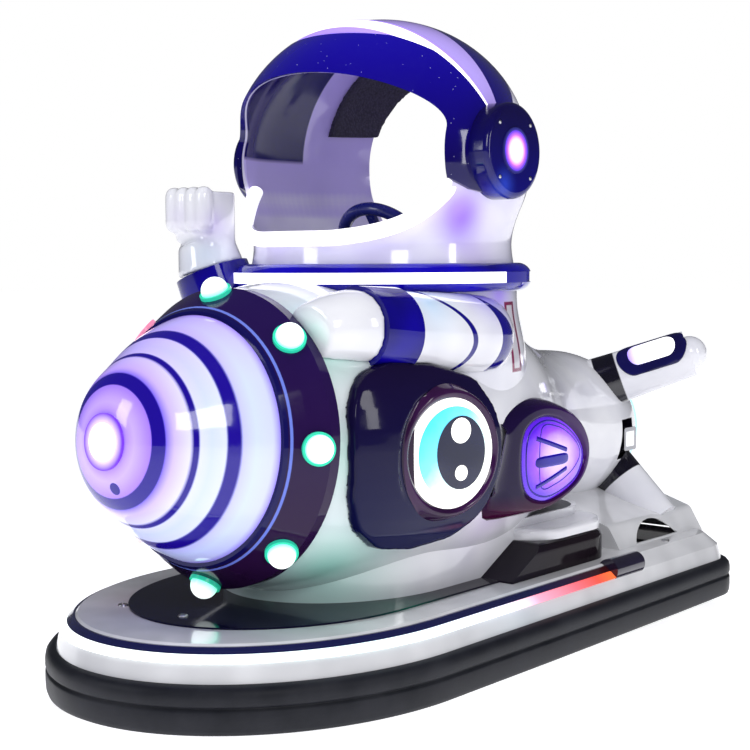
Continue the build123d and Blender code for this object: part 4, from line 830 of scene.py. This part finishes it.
# the bevel round each eye: a half sine in section, its outer row brought down onto the housing
s = np.linspace(0, 1, 11)[:, None]
radius = EYE_RADIUS + 0.029 * s
arch = np.broadcast_to(0.008 * np.sin(math.pi * s), (11, 72))
points = on_eye(radius * cos_turns, radius * sin_turns, arch)
foot = from_side(housing_tree, points[-1:, :, 1:], np.full((1, 72), 0.001))[..., 0]
points[..., 0] = points[..., 0] * (1 - s ** 3) + foot * s ** 3
surface("eye_bevel", points, bevel, closed_v=True, mirrored=True)

POD_MIDDLE, LENS_SINK = (0.125, 0.492), 0.006
pod_points = [
    (-0.080, 0.558), (-0.024, 0.604), (0.085, 0.623), (0.217, 0.597), (0.290, 0.546), (0.306, 0.491),
    (0.262, 0.427), (0.120, 0.376), (-0.043, 0.363), (-0.093, 0.387), (-0.106, 0.450),
]
lens_points = [
    (-0.004, 0.490), (0.012, 0.560), (0.077, 0.586), (0.165, 0.568), (0.240, 0.522), (0.266, 0.476),
    (0.235, 0.430), (0.160, 0.402), (0.078, 0.392), (0.012, 0.420),
]


def pod_grid(radius):
    """(along, height) pairs at a distance from the pod's middle, and the bowed face over them."""
    flat = np.stack([POD_MIDDLE[0] + radius * cos_turns, POD_MIDDLE[1] + radius * sin_turns], -1)
    return flat, POD_FACE_X - 0.30 * (flat[..., 0] - 0.10) ** 2


body_tree = tree_of(nodes["rocket_shell"], nodes["eye_housings"])
rim_radius = 1.04 * polar_radius(pod_points, POD_MIDDLE, turns)
lens_radius = polar_radius(lens_points, POD_MIDDLE, turns)
# the pod climbs from the body as a quarter sine, then dips to its lens
s = np.linspace(0, 1, 25)[:, None]
flat, face_x = pod_grid(rim_radius + (lens_radius - rim_radius) * s)
foot = from_side(body_tree, flat[:1], np.full((1, 72), -0.004))[..., 0]
climb = np.sin(math.pi / 2 * np.clip(s / 0.55, 0, 1)) ** 0.8
dip = LENS_SINK * np.clip(s / 0.2 - 4, 0, 1) ** 2
points = np.concatenate([(foot + (face_x - foot) * climb - dip)[..., None], flat], -1)
pod_form = surface("pod_forms", points, pod, closed_v=True, flip=True, mirrored=True)
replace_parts(pod_form, "side_pods")
s = np.append(np.linspace(1, 0, 13)[:-1], 0.002)[:, None]
flat, face_x = pod_grid(0.99 * s * lens_radius)
points = np.concatenate([(face_x - LENS_SINK + 0.010 * (1 - s ** 4))[..., None], flat], -1)
lens_form = surface("lens_forms", points, lens, closed_v=True, flip=True, mirrored=True)
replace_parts(lens_form, "pod_lenses")

lens_tree = tree_of(lens_form)
deep_blue = gloss("lens_line_enamel", (0.012, 0.003, 0.36), (0.008, 0.002, 0.20), 0.15, 0.05, 0.3, 0.3)
lens_ring = ring_outline(lens_points, 72)
outline = POD_MIDDLE + 0.90 * (lens_ring - POD_MIDDLE)
ribbon("pod_outline", lens_tree, outline, 0.005, 0.0018, deep_blue, closed=True)
panel_points = [
    (0.062, 0.556), (0.130, 0.560), (0.200, 0.528), (0.236, 0.490),
    (0.200, 0.455), (0.120, 0.428), (0.058, 0.432),
]
panel = ring_outline(panel_points, 60)
ribbon("pod_panel_outline", lens_tree, panel, 0.004, 0.0015, deep_blue, closed=True)
for name, start, end in (("top", 0.540, 0.503), ("foot", 0.428, 0.460)):
    wedge = line_points((0.042, start), (0.165, end), 14)
    ribbon("pod_wedge_" + name, lens_tree, wedge, 0.013, 0.0022, deep_blue)
PILL_MIDDLE = (0.105, 0.484)
pill = np.stack([PILL_MIDDLE[0] + 0.072 * signed_power(cos_turns, 0.35),
                 PILL_MIDDLE[1] + 0.014 * signed_power(sin_turns, 0.7)], 1)
inlay("pod_pill", lens_tree, PILL_MIDDLE, pill, 0.0025, deep_blue)


def hoop_form(first, last, proud):
    """Light hoop over the crown: arcs on the helmet's ellipsoid, lifted by 1 - v^6 across."""
    v = np.linspace(-1, 1, 25)[:, None]
    across = np.radians((first + last) / 2 + v * (last - first) / 2)
    side = np.cos(np.linspace(math.radians(12), math.radians(168), 97))
    lift = proud * (1 - v ** 6) - 0.001
    spread = np.sqrt(1 - side ** 2)
    x = (HELMET_HALF[0] + lift) * side
    y = HELMET_CENTRE[1] - (HELMET_HALF[0] + lift) * spread * np.cos(across)
    z = HELMET_CENTRE[2] + (HELMET_HALF[1] + lift) * spread * np.sin(across)
    return surface("hoop_form", np.stack([x, y, z], -1), helmet_strip)


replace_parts(hoop_form(57, 73, 0.008), "helmet_light_strip")


# ------------------------------------------------------------------ softened copies of CAD forms
def softened(node, name, finish, voxel, rounds, body="car", squeeze=None):
    """A copy of a CAD form with its edges rounded: remeshed on a grid, then smoothed.

    squeeze = (y, share) draws what lies behind y closer to it.
    """
    obj = bpy.data.objects.new(name, nodes[node].data.copy())
    bpy.context.scene.collection.objects.link(obj)
    remesh = obj.modifiers.new("grid", "REMESH")
    remesh.mode = "VOXEL"
    remesh.voxel_size = voxel
    remesh.use_smooth_shade = True
    smooth = obj.modifiers.new("round", "SMOOTH")
    smooth.factor = 0.6
    smooth.iterations = rounds
    depsgraph = bpy.context.evaluated_depsgraph_get()
    mesh = bpy.data.meshes.new_from_object(obj.evaluated_get(depsgraph))
    obj.modifiers.clear()
    obj.data = mesh
    if squeeze is not None:
        places = np.zeros(3 * len(mesh.vertices))
        mesh.vertices.foreach_get("co", places)
        behind = places[1::3] - squeeze[0]
        places[1::3] -= (1 - squeeze[1]) * np.maximum(behind, 0)
        mesh.vertices.foreach_set("co", places)
    mesh.materials.clear()
    mesh.materials.append(finish.material)
    mesh.polygons.foreach_set("use_smooth", np.ones(len(mesh.polygons), bool))
    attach(obj, body)
    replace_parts(obj, node)
    return obj


fine = 1.0
softened("gloves", "glove_forms", glove, 0.005 * fine, 10)
softened("sleeves", "sleeve_forms", sleeve, 0.005 * fine, 5, squeeze=(-0.10, 0.72))
softened("eye_housings", "housing_forms", housing, 0.004 * fine, 6, squeeze=(-0.165, 0.60))
pads = softened("head_pads", "head_pad_forms", leather, 0.004 * fine, 8)


def pillow(name, low, high, finish):
    """A crowned cushion: a superellipse plan; its top rises and its sides pull in with height."""
    u = np.linspace(0, 2 * math.pi, 96, endpoint=False)
    v = np.linspace(-math.pi / 2, math.pi / 2, 33)
    plan = np.stack([signed_power(np.cos(u), 0.35), signed_power(np.sin(u), 0.35)], 1)
    side, rise = signed_power(np.cos(v), 0.30), signed_power(np.sin(v), 0.75)
    middle, half = (np.array(low) + np.array(high)) / 2, (np.array(high) - np.array(low)) / 2
    points = np.zeros((len(v), len(u), 3))
    points[..., :2] = middle[:2] + side[:, None, None] * plan[None] * half[:2]
    points[..., 2] = middle[2] + rise[:, None] * half[2]
    return surface(name, points, finish, closed_v=True, caps=True)


low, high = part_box("seat_cushion")
cushion = pillow("seat_cushion_form", low, high + Vector((0, 0, 0.008)), leather)
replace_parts(cushion, "seat_cushion")

# ------------------------------------------------------------------ bumper with its grooves
def bumper_line():
    """Outline of the bumper's outer wall seen from above, even steps round the car."""
    co = np.array([v.co for v in nodes["bumper_ring"].data.vertices])
    turn = np.linspace(-math.pi, math.pi, 361)[:-1]
    ways = np.stack([np.cos(turn), np.sin(turn)], 1)
    flat = co[:, :2]
    reach = (flat @ ways.T).max(0)
    slope = (np.roll(reach, -1) - np.roll(reach, 1)) / (2 * (turn[1] - turn[0]))
    edge = reach[:, None] * ways + slope[:, None] * np.stack([-ways[:, 1], ways[:, 0]], 1)
    step = np.r_[0, np.cumsum(np.linalg.norm(np.roll(edge, -1, 0) - edge, axis=1))]
    even = np.linspace(0, step[-1], 481)[:-1]
    closed = np.vstack([edge, edge[:1]])
    return np.stack([np.interp(even, step, closed[:, k]) for k in (0, 1)], 1)


def bumper_form():
    """A moulded section, inset and height, carried round the outline along its inward normal."""
    line = bumper_line()
    ahead = np.roll(line, -1, 0) - np.roll(line, 1, 0)
    ahead /= np.linalg.norm(ahead, axis=1)[:, None]
    inward = np.stack([-ahead[:, 1], ahead[:, 0]], 1)
    section = np.array([
        (0.054, 0.050), (0.012, 0.050), (0.004, 0.054), (0.001, 0.062), (0.0, 0.078), (0.0, 0.096),
        (0.0015, 0.1005), (0.006, 0.1025), (0.006, 0.1055), (0.0015, 0.1075), (0.0, 0.112), (0.0, 0.124),
        (0.002, 0.134), (0.008, 0.1415), (0.016, 0.1455), (0.030, 0.146), (0.054, 0.146),
    ])
    points = np.zeros((len(line), len(section), 3))
    points[..., :2] = line[:, None] + inward[:, None] * section[None, :, :1]
    points[..., 2] = section[None, :, 1]
    form = surface("bumper_form", points, rubber, closed_u=True, closed_v=True)
    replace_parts(form, "bumper_ring")


bumper_form()


# ------------------------------------------------------------------ small fittings
def lathe(name, profile, centre, axis, finish, body="car", count=24):
    """A profile of (radius, height) turned about an axis through centre."""
    profile = np.asarray(profile, float)
    axis = Vector(axis).normalized()
    side = axis.orthogonal().normalized()
    up = axis.cross(side)
    turn = np.linspace(0, 2 * math.pi, count, endpoint=False)
    ring = np.cos(turn)[:, None] * np.array(side) + np.sin(turn)[:, None] * np.array(up)
    points = np.array(centre) + profile[:, None, :1] * ring[None] + profile[:, None, 1:] * np.array(axis)
    return surface(name, points, finish, body, closed_v=True, caps=True)


# (radius, height) profiles of the screw heads
DECK_SCREW = [
    (0.011, -0.002), (0.011, 0.001), (0.009, 0.0035), (0.004, 0.0045), (0.003, 0.0025), (0.0005, 0.0025),
]
EAR_SCREW = [(0.0045, -0.001), (0.0045, 0.0008), (0.0035, 0.0018), (0.0004, 0.0022)]
base_tree = tree_of(nodes["base_shell"], nodes["deck_plinth"])
for number, (x, y) in enumerate(((-0.183, -0.705), (0.003, -0.705), (0.360, 0.665), (-0.360, 0.665))):
    hit = base_tree.ray_cast(Vector((x, y, 1.0 if y < 0 else 0.5)), Vector((0, 0, -1)))
    if hit[0] is not None:
        lathe(f"deck_screw_{number}", DECK_SCREW, tuple(hit[0]), tuple(hit[1]), steel)
ear_tree = tree_of(nodes["ear_pods"])
for number in range(4):
    angle = math.radians(45 + 90 * number)
    y = EAR_PLACE[0] + EAR_SCREW_CIRCLE * math.cos(angle)
    z = EAR_PLACE[1] + EAR_SCREW_CIRCLE * math.sin(angle)
    for side, tag in ((1, "left"), (-1, "right")):
        hit = ear_tree.ray_cast(Vector((side, y, z)), Vector((-side, 0, 0)))
        lathe(f"ear_screw_{tag}_{number}", EAR_SCREW, tuple(hit[0]), (side, 0, 0), steel, count=16)


# ------------------------------------------------------------------ stage, light and camera
def floor_sheet():
    """A level sheet far wider than the picture: a grid of even steps along x and y."""
    steps = np.linspace(-40, 40, 9)
    points = np.zeros((9, 9, 3))
    points[..., 0], points[..., 1] = steps[:, None], steps[None]
    points[..., 2] = -0.0005
    paper = Finish("floor_paper", Roughness=0.9, Specular_IOR_Level=0.1)
    cloud = paper.noise(paper.position, 1.5, 2.0)
    tint = paper.mix(cloud, (0.90, 0.90, 0.91), (0.92, 0.92, 0.925))
    paper.shine(tint, 0.85)
    surface("floor", points, paper)


floor_sheet()


def area_light(name, place, target, size, power, colour=(1, 1, 1), mirrored=True):
    light = bpy.data.lights.new(name, "AREA")
    light.shape = "RECTANGLE"
    light.size, light.size_y = size
    light.energy = power
    light.color = colour
    obj = bpy.data.objects.new(name, light)
    obj.location = place
    obj.rotation_mode = "QUATERNION"
    obj.rotation_quaternion = (Vector(target) - Vector(place)).to_track_quat("-Z", "Y")
    obj.visible_glossy = mirrored
    bpy.context.scene.collection.objects.link(obj)


area_light("top_softbox", (0.4, -0.6, 3.6), (0.0, 0.0, 0.6), (2.2, 2.2), 48, mirrored=False)
area_light("front_softbox", (3.2, -2.4, 2.4), (0.0, -0.1, 0.6), (1.0, 1.4), 34)
area_light("nose_softbox", (-1.6, -3.6, 1.9), (0.0, -0.3, 0.6), (0.9, 1.3), 26, (0.92, 0.94, 1.0))
area_light("side_window", (3.4, 0.6, 1.6), (0.2, 0.1, 0.6), (0.4, 1.2), 14)

world = bpy.data.worlds.new("studio")
bpy.context.scene.world = world
world.use_nodes = True
sky = Net(world.node_tree)
background = world.node_tree.nodes["Background"]
background.inputs["Color"].default_value = (0.90, 0.92, 1.0, 1.0)
paths = sky.add("ShaderNodeLightPath")
mirrored_share = paths.outputs["Is Glossy Ray"]
sky.feed(background.inputs["Strength"], sky.maths("MULTIPLY_ADD", mirrored_share, -0.22, 0.30))
white_page = sky.add("ShaderNodeBackground")
white_page.inputs["Color"].default_value = (1.0, 1.0, 1.0, 1.0)
chooser = sky.add("ShaderNodeMixShader")
sky.feed(chooser.inputs[0], paths.outputs["Is Camera Ray"])
sky.tree.links.new(background.outputs[0], chooser.inputs[1])
sky.tree.links.new(white_page.outputs[0], chooser.inputs[2])
sky.tree.links.new(chooser.outputs[0], world.node_tree.nodes["World Output"].inputs["Surface"])
bpy.context.scene.view_settings.view_transform = "Standard"

lens_data = bpy.data.cameras.new("camera")
lens_data.sensor_width = 36.0
lens_data.lens = 72.0
camera = bpy.data.objects.new("camera", lens_data)
azimuth, tilt, roll = math.radians(39.7), math.radians(4.3), math.radians(-0.3)
ahead = Vector((-math.sin(azimuth) * math.cos(tilt), math.cos(azimuth) * math.cos(tilt), -math.sin(tilt)))
right = Vector((math.cos(azimuth), math.sin(azimuth), 0.0))
upward = right.cross(ahead)
right_rolled = right * math.cos(roll) + upward * math.sin(roll)
up_rolled = upward * math.cos(roll) - right * math.sin(roll)
turned = Matrix((right_rolled, up_rolled, -ahead)).transposed()
camera.matrix_world = Matrix.Translation((2.2463, -2.7859, 0.9397)) @ turned.to_4x4()
bpy.context.scene.collection.objects.link(camera)
bpy.context.scene.camera = camera
